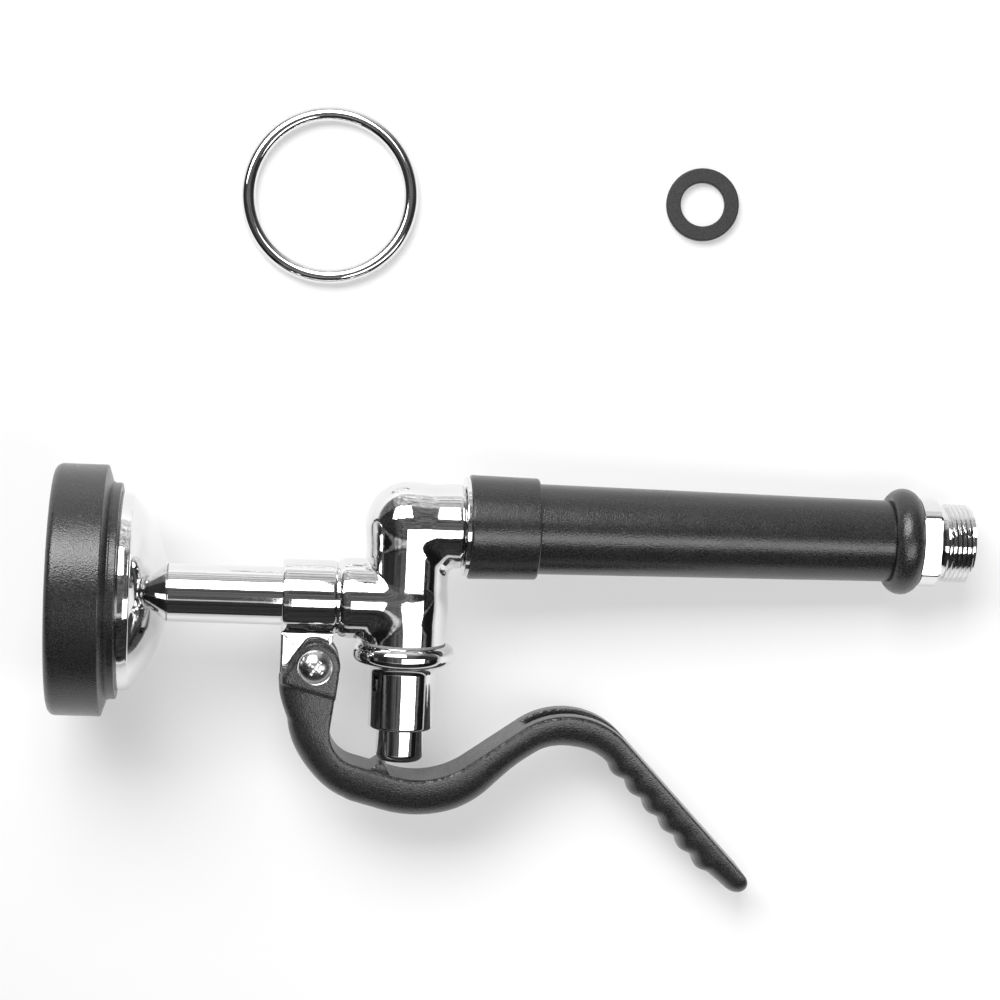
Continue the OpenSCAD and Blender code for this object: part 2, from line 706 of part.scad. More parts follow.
// ---- return spring: one unbroken tube along a helix ----
spring_low = holder_top + spring_wire / 2 + seat_gap;
spring_high = roof_y - spring_wire / 2 - seat_gap;
spring_rings = 8;
spring_sides = 6;
spring_steps = spring_turns * spring_rings;
function spring_at(t) = [spring_d / 2 * cos(360 * t), spring_d / 2 * sin(360 * t),
                         spring_low + (spring_high - spring_low) * t / spring_turns];
spring_points = [for (i = [0 : spring_steps]) for (j = [0 : spring_sides - 1])
    let (t = i / spring_rings, a = 360 * j / spring_sides, r = spring_d / 2 + spring_wire / 2 * cos(a))
    [r * cos(360 * t), r * sin(360 * t), spring_at(t)[2] + spring_wire / 2 * sin(a)]];
spring_least_gap = min([for (i = [0 : spring_steps - spring_rings])
    norm(spring_at((i + spring_rings) / spring_rings) - spring_at(i / spring_rings))]) - spring_wire;
echo(spring_least_gap = spring_least_gap);

// skin of a tube whose points come ring by ring
function tube_faces(rings, sides) = concat(
    [[for (j = [0 : sides - 1]) j]],
    [for (i = [0 : rings - 2]) for (j = [0 : sides - 1])
        let (a = i * sides + j, b = i * sides + (j + 1) % sides)
        each [[a, a + sides, b], [b, a + sides, b + sides]]],
    [[for (j = [sides - 1 : -1 : 0]) (rings - 1) * sides + j]]);

module return_spring() {
    color(steel) lying() on_barrel()
        polyhedron(spring_points, tube_faces(spring_steps + 1, spring_sides));
}

// ---- lever and its pivot ----
ear_gap = 0.15;            // gap under the screw's head and over its nut
fork_room = 0.6;           // gap between the tab's eye and the fork's floor
rib_short = 0.4;           // how much shorter the rib is than the lever is wide
screw_tail = 0.8;          // how far the screw shows past its nut

module ears() {
    v = ear_corner - pivot;
    flank = atan2(v[1], v[0]) - acos(ear_r / norm(v));
    inset = 0.3;
    foot = [ear_foot[0], ear_foot[1]] + inset * [sin(ear_foot[2]), -cos(ear_foot[2])];
    linear_extrude(height = lever_w, center = true) {
        translate([pivot[0], pivot[1]]) circle(r = ear_r);
        polygon([ear_corner, pivot + ear_r * [cos(flank), sin(flank)], pivot,
                 pivot + [ear_r - inset, 0], foot]);
    }
}

module lever() {
    slot_floor = tab_eye_r + fork_room;
    slot_top = 3 * ear_r;
    color(black_plastic) lying() difference() {
        union() {
            polyhedron([for (ring = rings) each ring], tube_faces(len(rings), lever_sides + 1));
            ears();
            translate([rib_at[0], rib_at[1], 0]) cylinder(r = rib_r, h = lever_w - rib_short, center = true);
        }
        on_pivot() cylinder(r = pivot_d / 2 + run_gap, h = lever_w + 2 * cut, center = true);
        on_pivot() rotate([0, 0, -arm_lean]) translate([-2 * arm_depth, -slot_floor, -tab_thick / 2 - fork_gap])
            cube([4 * arm_depth, slot_floor + slot_top, tab_thick + 2 * fork_gap]);
    }
}

module pivot_screw() {
    head_low = lever_w / 2 + ear_gap;
    tail = -head_low - pivot_nut_thick - screw_tail;
    dome_rad = (pow(head_d / 2, 2) + pow(head_rise, 2)) / (2 * head_rise);
    dome_half = asin(head_d / 2 / dome_rad);
    outline = concat([[0, tail], [pivot_d / 2, tail], [pivot_d / 2, head_low], [head_d / 2, head_low]],
                     arc([0, head_low + head_rise - dome_rad], dome_rad, 90 - dome_half, 90, 8));
    color(steel) lying() on_pivot() turned(outline);
}

module pivot_nut() {
    color(steel) lying() on_pivot() translate([0, 0, -lever_w / 2 - ear_gap - pivot_nut_thick])
        hex_nut(pivot_nut_flats, pivot_nut_thick, pivot_d / 2 + seat_gap);
}

module pivot_bush() {
    color(brass) lying() on_pivot() difference() {
        cylinder(d = bush_d, h = tab_thick, center = true);
        cylinder(r = pivot_d / 2 + run_gap, h = tab_thick + 2 * cut, center = true);
    }
}

// ---- nozzle tube, bell and spray plate ----
seal_depth = 1.35;         // depth of an O-ring's groove in a tube
seal_half = 0.8;           // half the width of that groove

module nozzle_tube() {
    groove_r = tube_r - seal_depth;
    groove = (tube_start + collar_face) / 2;
    color(chrome) lying() on_nozzle() turned([
        [tube_bore / 2, tube_end], [tube_r, tube_end],
        [tube_r, groove - seal_half], [groove_r, groove - seal_half],
        [groove_r, groove + seal_half], [tube_r, groove + seal_half],
        [tube_r, tube_start], [tube_bore / 2, tube_start]]);
}

module nozzle_seal() {
    color(black_rubber) lying() on_nozzle() translate([0, 0, (tube_start + collar_face) / 2])
        wire_ring(tube_r - seal_depth / 2, seal_depth - seat_gap);
}

plate_screw_reach = 8;     // plate screw behind the plate
screw_bottom = 1;          // room past the end of that screw
jet_spread = 0.92;         // outermost ring of holes, as a share of the plate's open face

module spray_bell() {
    web_short = 0.3;
    inner_r = dome_r - bell_wall;
    hole_r = tube_r + seat_gap;
    outline = concat(
        arc([0, dome_x], dome_r, acos(hole_r / dome_r), acos(bell_r / dome_r), 12),
        [[bell_r, rim_x], [plate_r, rim_x], [plate_r, ledge_x], [ledge_r, ledge_x]],
        arc([0, dome_x], inner_r, acos(ledge_r / inner_r), acos(hub_r / inner_r), 10),
        [[hub_r, hub_end], [tube_bore / 2, hub_end], [tube_bore / 2, tube_end], [hole_r, tube_end]]);
    color(chrome) lying() on_nozzle() difference() {
        union() {
            turned(outline);
            bar(post_r, plate_back, hub_end + web_sink);
            for (a = [0 : 120 : 240])
                rotate([0, 0, a]) translate([0, -web_thick / 2, hub_end + web_sink - web_len])
                    cube([hub_r - web_short, web_thick, web_len]);
        }
        bar(plate_screw_d / 2 + seat_gap, plate_back - cut, plate_back + plate_screw_reach + screw_bottom);
    }
}

module spray_plate() {
    color(steel) lying() on_nozzle() difference() {
        bar(plate_r - seat_gap, plate_front, plate_back);
        bar(plate_screw_d / 2 + seat_gap, plate_front - cut, plate_back + cut);
        for (ring = [1 : jet_rings])
            for (i = [0 : 6 * ring - 1])
                rotate([0, 0, 60 * i / ring]) translate([ring * ledge_r * jet_spread / jet_rings, 0, 0])
                    bar(jet_d / 2, plate_front - cut, plate_back + cut);
    }
}

module plate_seal() {
    color(black_rubber) lying() on_nozzle() difference() {
        bar(plate_r - seat_gap, plate_back, ledge_x);
        bar(ledge_r, plate_back - cut, ledge_x + cut);
    }
}

module plate_screw() {
    head_r = 1.07 * plate_screw_d;
    head_h = 0.6 * plate_screw_d;
    edge = 0.5;
    tip = plate_back + plate_screw_reach;
    color(steel) lying() on_nozzle() turned([
        [0, plate_front - head_h], [head_r - edge, plate_front - head_h],
        [head_r, plate_front - head_h + edge], [head_r, plate_front],
        [plate_screw_d / 2, plate_front], [plate_screw_d / 2, tip], [0, tip]]);
}

module bumper() {
    hold_r = bell_r - bumper_hold;
    e = bumper_round;
    shoulder = [for (i = [0 : 8]) let (a = 90 - 90 * i / 8)
        [lip_r + (bumper_r - lip_r) * cos(a), shoulder_x + bumper_shoulder * sin(a)]];
    outline = concat(
        [[bumper_seat_r, bumper_back + lip_len], [lip_r, bumper_back + lip_len]],
        shoulder,
        arc([bumper_r - e, bumper_x + e], e, 0, -90),
        arc([hold_r + e, bumper_x + e], e, -90, -180),
        [[hold_r, rim_x], [bumper_seat_r, rim_x]]);
    color(black_rubber) lying() on_nozzle() turned(outline);
}

// ---- grip ----
module joint_washer() {
    color(chrome) lying() on_grip() difference() {
        bar(washer_d / 2, stub_len, washer_end);
        bar(core_r + seat_gap, stub_len - cut, washer_end + cut);
    }
}

module grip_tube() {
    color(steel) lying() on_grip() difference() {
        bar(core_r, core_start, ring_end);
        bar(core_bore_r, core_start - cut, ring_end + cut);
    }
}

module grip_collar() {
    hole_r = core_r + seat_gap;
    sleeve_r = sleeve_d / 2 + seat_gap;
    end_r = (grip_collar_d - grip_collar_taper) / 2;
    e = grip_collar_round;
    chamfer = 0.4;
    outline = concat(
        [[hole_r, washer_end], [grip_collar_d / 2 - chamfer, washer_end],
         [grip_collar_d / 2, washer_end + chamfer]],
        arc([end_r - e, grip_collar_end - e], e, 0, 90),
        [[sleeve_r, grip_collar_end], [sleeve_r, sleeve_start], [hole_r, sleeve_start]]);
    color(black_plastic) lying() on_grip() turned(outline);
}

module grip_sleeve() {
    hole_r = core_r + seat_gap;
    color(black_rubber) lying() on_grip() turned([
        [hole_r, sleeve_start], [sleeve_d / 2, sleeve_start], [sleeve_d / 2, grip_collar_end],
        [sleeve_end_d / 2, sleeve_end], [hole_r, sleeve_end]]);
}

module end_ring() {
    hole_r = core_r + seat_gap;
    half = asin(end_ring_len / end_ring_wire);
    outline = concat([[hole_r, ring_end], [hole_r, sleeve_end]],
                     arc([end_ring_r, end_ring_x], end_ring_wire / 2, -half, half, 12));
    color(black_rubber) lying() on_grip() turned(outline);
}

// ---- inlet ----
relief_deep = 1;           // depth of the groove behind the thread

module inlet_connector() {
    spigot_r = core_bore_r - seat_gap;
    spigot_start = ring_end - connector_spigot;
    seal = ring_end - connector_spigot / 2;
    thread_r = thread_d / 2;
    relief_r = thread_r - relief_deep;
    color(chrome) lying() on_grip() difference() {
        union() {
            turned([[0, spigot_start], [spigot_r, spigot_start],
                    [spigot_r, seal - seal_half], [spigot_r - seal_depth, seal - seal_half],
                    [spigot_r - seal_depth, seal + seal_half], [spigot_r, seal + seal_half],
                    [spigot_r, ring_end + cut], [0, ring_end + cut]]);
            intersection() {
                bar(spanner_d / 2, ring_end, spanner_end);
                translate([-spanner_flats / 2, -spanner_d, ring_end])
                    cube([spanner_flats, 2 * spanner_d, spanner_len]);
            }
            turned([[0, spanner_end - cut], [relief_r, spanner_end - cut], [relief_r, relief_end],
                    [thread_r, relief_end], [thread_r, inlet_end - thread_chamfer],
                    [thread_r - thread_chamfer, inlet_end], [0, inlet_end]]);
        }
        bar(connector_bore / 2, spigot_start - cut, inlet_end + cut);
    }
}

module inlet_seal() {
    color(black_rubber) lying() on_grip() translate([0, 0, ring_end - connector_spigot / 2])
        wire_ring(core_bore_r - seat_gap - seal_depth / 2, seal_depth - seat_gap);
}

// ---- loose pieces ----
module hold_down_ring() {
    color(chrome) translate([ring_right, ring_up, ring_wire / 2] - middle) wire_ring(ring_d / 2, ring_wire);
}

module hose_washer() {
    e = 0.3;
    outer = hose_washer_d / 2;
    inner = hose_washer_hole / 2;
    color(black_rubber) translate([hose_washer_right, hose_washer_up, 0] - middle) turned([
        [inner, e], [inner + e, 0], [outer - e, 0], [outer, e],
        [outer, hose_washer_thick - e], [outer - e, hose_washer_thick],
        [inner + e, hose_washer_thick], [inner, hose_washer_thick - e]]);
}

valve_body();
bonnet();
bonnet_gasket();
gland_bush();
stem_seals();
seat_insert();
seat_washer();
disc_holder();
stem_nut();
valve_stem();
plunger();
return_spring();
lever();
pivot_screw();
pivot_nut();
pivot_bush();
nozzle_tube();
nozzle_seal();
spray_bell();
spray_plate();
plate_seal();
plate_screw();
bumper();
joint_washer();
grip_tube();
grip_collar();
grip_sleeve();
end_ring();
inlet_connector();
inlet_seal();
hold_down_ring();
hose_washer();
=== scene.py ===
"""A hand-held spray valve with its hold-down ring and hose washer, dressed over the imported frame."""
import json
import bmesh
import bpy
import numpy as np
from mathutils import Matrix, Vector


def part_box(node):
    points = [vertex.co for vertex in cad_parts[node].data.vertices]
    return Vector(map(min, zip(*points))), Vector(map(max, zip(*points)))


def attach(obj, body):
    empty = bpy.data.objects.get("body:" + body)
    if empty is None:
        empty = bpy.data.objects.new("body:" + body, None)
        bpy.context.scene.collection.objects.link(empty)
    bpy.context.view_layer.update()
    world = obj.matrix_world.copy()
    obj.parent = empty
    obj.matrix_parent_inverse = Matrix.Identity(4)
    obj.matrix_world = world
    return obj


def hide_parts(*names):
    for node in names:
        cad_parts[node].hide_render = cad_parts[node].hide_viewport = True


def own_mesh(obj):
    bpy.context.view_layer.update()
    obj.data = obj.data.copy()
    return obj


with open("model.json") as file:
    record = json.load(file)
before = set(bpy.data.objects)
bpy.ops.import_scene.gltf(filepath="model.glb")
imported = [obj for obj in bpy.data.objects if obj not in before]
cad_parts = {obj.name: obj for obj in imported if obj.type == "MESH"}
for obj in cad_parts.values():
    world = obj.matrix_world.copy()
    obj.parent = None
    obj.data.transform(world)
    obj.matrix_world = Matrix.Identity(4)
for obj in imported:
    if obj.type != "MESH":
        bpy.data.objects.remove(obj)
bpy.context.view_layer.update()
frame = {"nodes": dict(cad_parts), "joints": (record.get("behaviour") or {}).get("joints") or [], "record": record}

# ---- Bench, light and camera ----
# A white bench top, seen from straight above. A large panel hangs behind and to the left, a small
# one low on the lever's side. The room is dark and uneven, with a pale strip on the lever's side and
# a pale wall behind the grip; WALLS gives its greys at angles, in degrees, behind straight up.
WALLS = ((-92, 0.9), (-88, 0.03), (-32, 0.03), (-28.5, 0.04), (-28, 0.45), (-24, 0.45), (-23.5, 0.04), (-17, 0.09),
         (20, 0.12), (48, 0.12), (52, 0.5), (88, 0.6), (92, 0.9))
BENCH_WHITE, BENCH_PLAIN, BENCH_REACH = (0.96, 0.96, 0.96, 1), 0.4, 2.5
PALE_WALL, PAPER_WHITE = (0.9, 0.9, 0.9, 1), (1, 1, 1, 1)


def nodes_of(tree):
    """Empties a node tree and gives back two short calls: one adds a node with its settings and
    plain inputs, the other joins an output to an input."""
    tree.nodes.clear()

    def add(kind, inputs=None, **settings):
        node = tree.nodes.new(kind)
        for name, value in settings.items():
            setattr(node, name, value)
        for name, value in (inputs or {}).items():
            node.inputs[name].default_value = value
        return node

    return add, tree.links.new


def grid_faces(rows, columns, wrap_rows, wrap_columns):
    """Four-cornered faces of a grid whose points are numbered row by row."""
    i = np.arange(rows if wrap_rows else rows - 1)[:, None]
    j = np.arange(columns if wrap_columns else columns - 1)[None, :]
    down, right = (i + 1) % rows, (j + 1) % columns
    corners = [i * columns + j, i * columns + right, down * columns + right, down * columns + j]
    return np.stack(np.broadcast_arrays(*corners), -1).reshape(-1, 4)


def make_piece(name, points, faces, material, sharp=35, weld=True):
    """A mesh object from points in metres and faces. Faces turn outwards: the volume is worked out
    from the faces, and they are turned round where it comes out negative. Edges that bend by more
    than the angle sharp, in degrees, stay crisp."""
    mesh = bpy.data.meshes.new(name)
    faces = np.asarray(faces)
    a, b, c = (points[faces[:, k]] for k in range(3))
    d = points[faces[:, -1]]
    middle = points.mean(0)
    a, b, c, d = (p - middle for p in (a, b, c, d))
    volume = (np.cross(a, b) * c).sum() + (np.cross(a, c) * d).sum()
    mesh.from_pydata(points.tolist(), [], (faces if volume > 0 else faces[:, ::-1]).tolist())
    if weld:
        shell = bmesh.new()
        shell.from_mesh(mesh)
        bmesh.ops.remove_doubles(shell, verts=shell.verts, dist=2e-7)
        bmesh.ops.dissolve_degenerate(shell, edges=shell.edges, dist=1e-8)
        shell.to_mesh(mesh)
        shell.free()
    mesh.shade_smooth()
    mesh.set_sharp_from_angle(angle=np.radians(sharp))
    mesh.materials.append(material)
    piece = bpy.data.objects.new(name, mesh)
    bpy.context.scene.collection.objects.link(piece)
    return piece


def bench_paint():
    """A dull white top that keeps the shadows, but is part plain white to the eye and in mirrors."""
    paint = bpy.data.materials.new("bench_white")
    paint.use_nodes = True
    add, join = nodes_of(paint.node_tree)
    lit = add("ShaderNodeBsdfPrincipled", {"Base Color": BENCH_WHITE, "Roughness": 0.9, "Specular IOR Level": 0.1})
    plain = add("ShaderNodeEmission", {"Color": PAPER_WHITE, "Strength": 1.0})
    ray = add("ShaderNodeLightPath")
    mirrored = add("ShaderNodeMath", operation="MAXIMUM")
    looked_at = add("ShaderNodeMath", operation="MAXIMUM")
    share = add("ShaderNodeMath", {1: BENCH_PLAIN}, operation="MULTIPLY")
    mixed = add("ShaderNodeMixShader")
    join(ray.outputs["Is Glossy Ray"], mirrored.inputs[0])
    join(ray.outputs["Is Transmission Ray"], mirrored.inputs[1])
    join(ray.outputs["Is Camera Ray"], looked_at.inputs[0])
    join(mirrored.outputs[0], looked_at.inputs[1])
    join(looked_at.outputs[0], share.inputs[0])
    join(share.outputs[0], mixed.inputs[0])
    join(lit.outputs[0], mixed.inputs[1])
    join(plain.outputs[0], mixed.inputs[2])
    join(mixed.outputs[0], add("ShaderNodeOutputMaterial").inputs[0])
    return paint


bench_edge = np.linspace(-BENCH_REACH, BENCH_REACH, 3)
bench_x, bench_y = np.meshgrid(bench_edge, bench_edge, indexing="ij")
bench_points = np.stack([bench_x, bench_y, np.zeros_like(bench_x)], -1).reshape(-1, 3)
bench = make_piece("bench_top", bench_points, grid_faces(3, 3, False, False)[:, ::-1], bench_paint(), weld=False)
if bench.data.polygons[0].normal.z < 0:
    bench.data.flip_normals()

world = bpy.data.worlds.new("room")
world.use_nodes = True
bpy.context.scene.world = world
add, join = nodes_of(world.node_tree)

# The greys of the walls follow how far a place lies behind straight up.
look = add("ShaderNodeTexCoord")
way = add("ShaderNodeSeparateXYZ")
join(look.outputs["Generated"], way.inputs[0])
lean = add("ShaderNodeMath", operation="ARCTAN2")
join(way.outputs["Y"], lean.inputs[0])
join(way.outputs["Z"], lean.inputs[1])
turn = add("ShaderNodeMapRange", {"From Min": -np.pi, "From Max": np.pi})
join(lean.outputs[0], turn.inputs["Value"])
walls = add("ShaderNodeValToRGB")
for element, degrees in zip(walls.color_ramp.elements, (-180, 180)):
    element.position = 0.5 + degrees / 360
    element.color = PALE_WALL
for degrees, grey in WALLS:
    stop = walls.color_ramp.elements.new(0.5 + degrees / 360)
    stop.color = (grey, grey, grey, 1)
join(turn.outputs[0], walls.inputs[0])

# Long streaks from side to side make the walls uneven, and both side walls are darker.
stretch = add("ShaderNodeMapping")
stretch.inputs["Scale"].default_value = (1.5, 26, 26)
join(look.outputs["Generated"], stretch.inputs[0])
streaks = add("ShaderNodeTexNoise", {"Scale": 1.0, "Detail": 5.0, "Roughness": 0.65})
join(stretch.outputs[0], streaks.inputs["Vector"])
uneven = add("ShaderNodeMapRange", {"From Min": 0.35, "From Max": 0.7, "To Min": 0.2, "To Max": 2.6})
join(streaks.outputs[0], uneven.inputs["Value"])
streaked = add("ShaderNodeVectorMath", operation="SCALE")
join(walls.outputs[0], streaked.inputs[0])
join(uneven.outputs[0], streaked.inputs["Scale"])
aside = add("ShaderNodeMath", operation="ABSOLUTE")
join(way.outputs["X"], aside.inputs[0])
shut = add("ShaderNodeMapRange", {"From Min": 0.35, "From Max": 0.6, "To Min": 1.0, "To Max": 0.25})
join(aside.outputs[0], shut.inputs["Value"])
sides = add("ShaderNodeVectorMath", operation="SCALE")
join(streaked.outputs[0], sides.inputs[0])
join(shut.outputs[0], sides.inputs["Scale"])

# Near the bench's level the room is pale all round, and the camera sees plain white.
low = add("ShaderNodeMapRange", {"From Min": 0.0, "From Max": 0.07})
join(way.outputs["Z"], low.inputs["Value"])
horizon = add("ShaderNodeMix", data_type="RGBA")
horizon.inputs["A"].default_value = PALE_WALL
join(low.outputs[0], horizon.inputs["Factor"])
join(sides.outputs[0], horizon.inputs["B"])
room_light = add("ShaderNodeBackground")
join(horizon.outputs["Result"], room_light.inputs[0])
seen = add("ShaderNodeBackground", {"Color": PAPER_WHITE})
ray = add("ShaderNodeLightPath")
room = add("ShaderNodeMixShader")
join(ray.outputs["Is Camera Ray"], room.inputs[0])
join(room_light.outputs[0], room.inputs[1])
join(seen.outputs[0], room.inputs[2])
join(room.outputs[0], add("ShaderNodeOutputWorld").inputs[0])


def panel(name, left, right, front, back, height, glow, turned_by=0):
    """A flat lamp that hangs level over the bench between the given places, in metres, turned by some
    degrees. Its power is its glow times four times its area, so that 1 is as bright as white paper."""
    lamp = bpy.data.lights.new(name, "AREA")
    lamp.shape = "RECTANGLE"
    lamp.size, lamp.size_y = right - left, back - front
    lamp.energy = glow * 4 * lamp.size * lamp.size_y
    holder = bpy.data.objects.new(name, lamp)
    holder.location = ((left + right) / 2, (front + back) / 2, height)
    holder.rotation_euler = (0, 0, np.radians(turned_by))
    holder.visible_camera = False
    bpy.context.scene.collection.objects.link(holder)


panel("panel_behind", left=-0.82, right=0.108, front=0.283, back=1.11, height=0.90, glow=6.2, turned_by=2.4)
panel("panel_before", left=-0.029, right=0.325, front=-0.187, back=-0.066, height=0.31, glow=3.0)

# The camera's focal length is given in picture widths, its place in metres, its turn in degrees.
FOCAL_WIDTHS, CAMERA_PLACE, CAMERA_TURN = 2.6, (-0.00406, -0.00126, 0.715), 2.0
lens = bpy.data.cameras.new("camera")
lens.lens = FOCAL_WIDTHS * lens.sensor_width
camera = bpy.data.objects.new("camera", lens)
camera.location = CAMERA_PLACE
camera.rotation_euler = (0, 0, np.radians(CAMERA_TURN))
bpy.context.scene.collection.objects.link(camera)
bpy.context.scene.camera = camera
bpy.context.scene.view_settings.view_transform = "Standard"

# ---- Valve body ----
# One brass casting, polished and chrome plated: the upright barrel, its elbow to the grip and the
# neck to the nozzle run into each other, with a tight corner above the neck and a soft one below.
# Sizes from here on are in millimetres, along the sprayer's own axes.
PIVOT = np.array([-23.5, -17.4])
BARREL_R, NECK_R, GRIP_Y = 11.0, 10.7, 20.0
BARREL_LOW, STUB_END, GROOVE_X, GROOVE_R, SHOULDER = -11.1, 14.6, -17.8, 9.5, 3.4
STUB_ROUND, STUB_DROP, STUB_FLARE, FLARE_EVEN = 1.5, 1.1, 0.45, 0.6
ELBOW_SOFT, NECK_SOFT, NECK_SOFT_CHANGE, NECK_SOFT_OVER = 2.2, 1.6, 1.2, 8
BODY_LOW, BODY_HIGH, BODY_CELL = (-19.6, -12.4, -11.6), (15.6, 31.6, 11.6), 0.4
joints = {joint["name"]: joint for joint in frame["joints"]}
side = np.array(joints["lever_pivot"]["axis"])
up = np.array(joints["plunger_slide"]["axis"])
axes = np.stack([np.cross(up, side), up, side], 1)
origin = np.array(joints["lever_pivot"]["pos_m"]) - axes @ np.append(PIVOT, 0) / 1000


def laid(points):
    """Points in the sprayer's own axes, in mm, as they come to lie on the bench, in metres.
    X runs along the nozzle and the grip, Y from the lever up to the grip, Z out of its side."""
    return np.asarray(points, float) @ axes.T / 1000 + origin


def blended(a, b, soft):
    """The lesser of two fields, with the corner between them rounded over the length soft."""
    near = np.maximum(soft - np.abs(a - b), 0) / soft
    return np.minimum(a, b) - near * near * soft / 4


def slope(field, points, reach=0.02):
    """How a field grows at each point, along each axis, from its values a little way to both sides."""
    steps = np.eye(3) * reach
    return np.stack([(field(points + s) - field(points - s)) / (2 * reach) for s in steps], 1)


def skin_of(field, low, high, cell, rounds=4):
    """The skin of a solid whose field is negative inside. Each cell that the skin crosses gets one
    point, each crossed edge of the grid gets one face, and the points are evened out and settled."""

    def settled(points):
        """The points brought onto the skin: each moves against the slope by the field's value over
        the slope squared, three times."""
        for _ in range(3):
            grown = slope(field, points)
            steep = np.maximum((grown ** 2).sum(1), 0.05)
            points = points - (field(points) / steep)[:, None].clip(-cell, cell) * grown
        return points

    def outward_at(points):
        """The slope made one long."""
        grown = slope(field, points)
        return grown / np.linalg.norm(grown, axis=1)[:, None]

    lines = [np.arange(a, b + cell, cell) for a, b in zip(low, high)]
    grid = np.stack(np.meshgrid(*lines, indexing="ij"), -1)
    inside = field(grid.reshape(-1, 3)).reshape(grid.shape[:3]) < 0
    corners = sum(inside[i:i - 1 or None, j:j - 1 or None, k:k - 1 or None].astype(int)
                  for i in (0, 1) for j in (0, 1) for k in (0, 1))
    crossed = (corners > 0) & (corners < 8)
    number = np.full(crossed.shape, -1)
    number[crossed] = np.arange(crossed.sum())
    points = np.stack(np.nonzero(crossed), 1) * cell + np.array(low) + cell / 2
    faces = []
    for axis in range(3):
        here, there = np.swapaxes(inside, 0, axis)[:-1], np.swapaxes(inside, 0, axis)[1:]
        cells = np.swapaxes(number, 0, axis)
        i, j, k = np.nonzero(here[:, 1:-1, 1:-1] != there[:, 1:-1, 1:-1])
        quad = np.stack([cells[i, j, k], cells[i, j + 1, k], cells[i, j + 1, k + 1], cells[i, j, k + 1]], 1)
        inward = here[i, j + 1, k + 1] != (axis == 1)
        quad[~inward] = quad[~inward, ::-1]
        faces.append(quad)
    faces = np.concatenate(faces)
    edges = np.concatenate([faces[:, [k, (k + 1) % 4]] for k in range(4)])
    count = np.bincount(edges[:, 0], minlength=len(points))[:, None]
    for _ in range(rounds):
        points = settled(points)
        total = np.stack([np.bincount(edges[:, 0], points[edges[:, 1], k], len(points)) for k in range(3)], 1)
        outward = outward_at(points)
        shift = total / count - points
        shift -= (shift * outward).sum(1)[:, None] * outward
        points = points + 0.6 * shift
    return settled(points), faces


def casting(points):
    """The body's field: a bar with a ball end for the barrel, one for the grip's stub, and the neck,
    a round bar. The neck shrinks to the groove, and the stub to its end, in a quarter of an oval,
    and the stub widens a little on its way there. Corners are softer under the neck than above."""
    x, y, z = points.T
    barrel = np.sqrt(x ** 2 + np.maximum(y - GRIP_Y, 0) ** 2 + z ** 2) - BARREL_R
    near_end = np.clip((x - STUB_END) / STUB_ROUND + 1, 0, 1)
    stub_r = BARREL_R - STUB_DROP * (1 - np.sqrt(np.maximum(1 - near_end ** 2, 1e-4)))
    flare = STUB_FLARE * (np.clip(x / STUB_END, 0, 1) - FLARE_EVEN)
    stub = np.sqrt(np.minimum(x, 0) ** 2 + (y - GRIP_Y) ** 2 + z ** 2) - stub_r - flare
    run = np.clip((x - GROOVE_X) / SHOULDER, 0, 1)
    neck_r = GROOVE_R + (NECK_R - GROOVE_R) * np.sqrt(np.maximum(1 - (1 - run) ** 2, 1e-4))
    neck = np.sqrt(np.maximum(x, 0) ** 2 + y ** 2 + z ** 2) - neck_r
    soft = NECK_SOFT + NECK_SOFT_CHANGE * np.clip(-y / NECK_SOFT_OVER, -1, 1)
    return blended(blended(barrel, stub, ELBOW_SOFT), neck, soft)


def chrome(name, tone=0.80, worn=1.0, dull_at=0.035):
    """Bright plating: a mirror with faint smears that dull it in patches, fine rub marks and a hardly
    visible swell that bends what it mirrors."""
    plate = bpy.data.materials.new(name)
    plate.use_nodes = True
    add, join = nodes_of(plate.node_tree)
    skin = add("ShaderNodeBsdfPrincipled", {"Metallic": 1.0})
    place = add("ShaderNodeTexCoord")
    smear = add("ShaderNodeTexNoise", {"Scale": 90.0, "Detail": 4.0, "Roughness": 0.6})
    dull = add("ShaderNodeMapRange", {"From Min": 0.42, "From Max": 0.75, "To Min": dull_at,
                                      "To Max": dull_at + 0.09 * worn})
    rubbed = add("ShaderNodeTexNoise", {"Scale": 2600.0, "Detail": 2.0})
    tint = add("ShaderNodeMapRange", {"From Min": 0.3, "From Max": 0.8, "To Min": tone,
                                      "To Max": tone - 0.04 * worn})
    shade = add("ShaderNodeCombineColor")
    swell = add("ShaderNodeTexNoise", {"Scale": 260.0, "Detail": 2.0})
    both = add("ShaderNodeMath", {1: 0.12 * worn}, operation="MULTIPLY_ADD")
    rise = add("ShaderNodeBump", {"Strength": 0.04, "Distance": 0.0004})
    for texture in (smear, rubbed, swell):
        join(place.outputs["Object"], texture.inputs["Vector"])
    join(smear.outputs[0], dull.inputs["Value"])
    join(smear.outputs[0], tint.inputs["Value"])
    for channel in shade.inputs:
        join(tint.outputs[0], channel)
    join(rubbed.outputs[0], both.inputs[0])
    join(swell.outputs[0], both.inputs[2])
    join(both.outputs[0], rise.inputs["Height"])
    join(dull.outputs[0], skin.inputs["Roughness"])
    join(shade.outputs[0], skin.inputs["Base Color"])
    join(rise.outputs[0], skin.inputs["Normal"])
    join(skin.outputs[0], add("ShaderNodeOutputMaterial").inputs[0])
    return plate


polished = chrome("polished_chrome")

points, faces = skin_of(casting, BODY_LOW, BODY_HIGH, BODY_CELL)
body = make_piece("valve_body_casting", laid(points), faces, polished, weld=False)

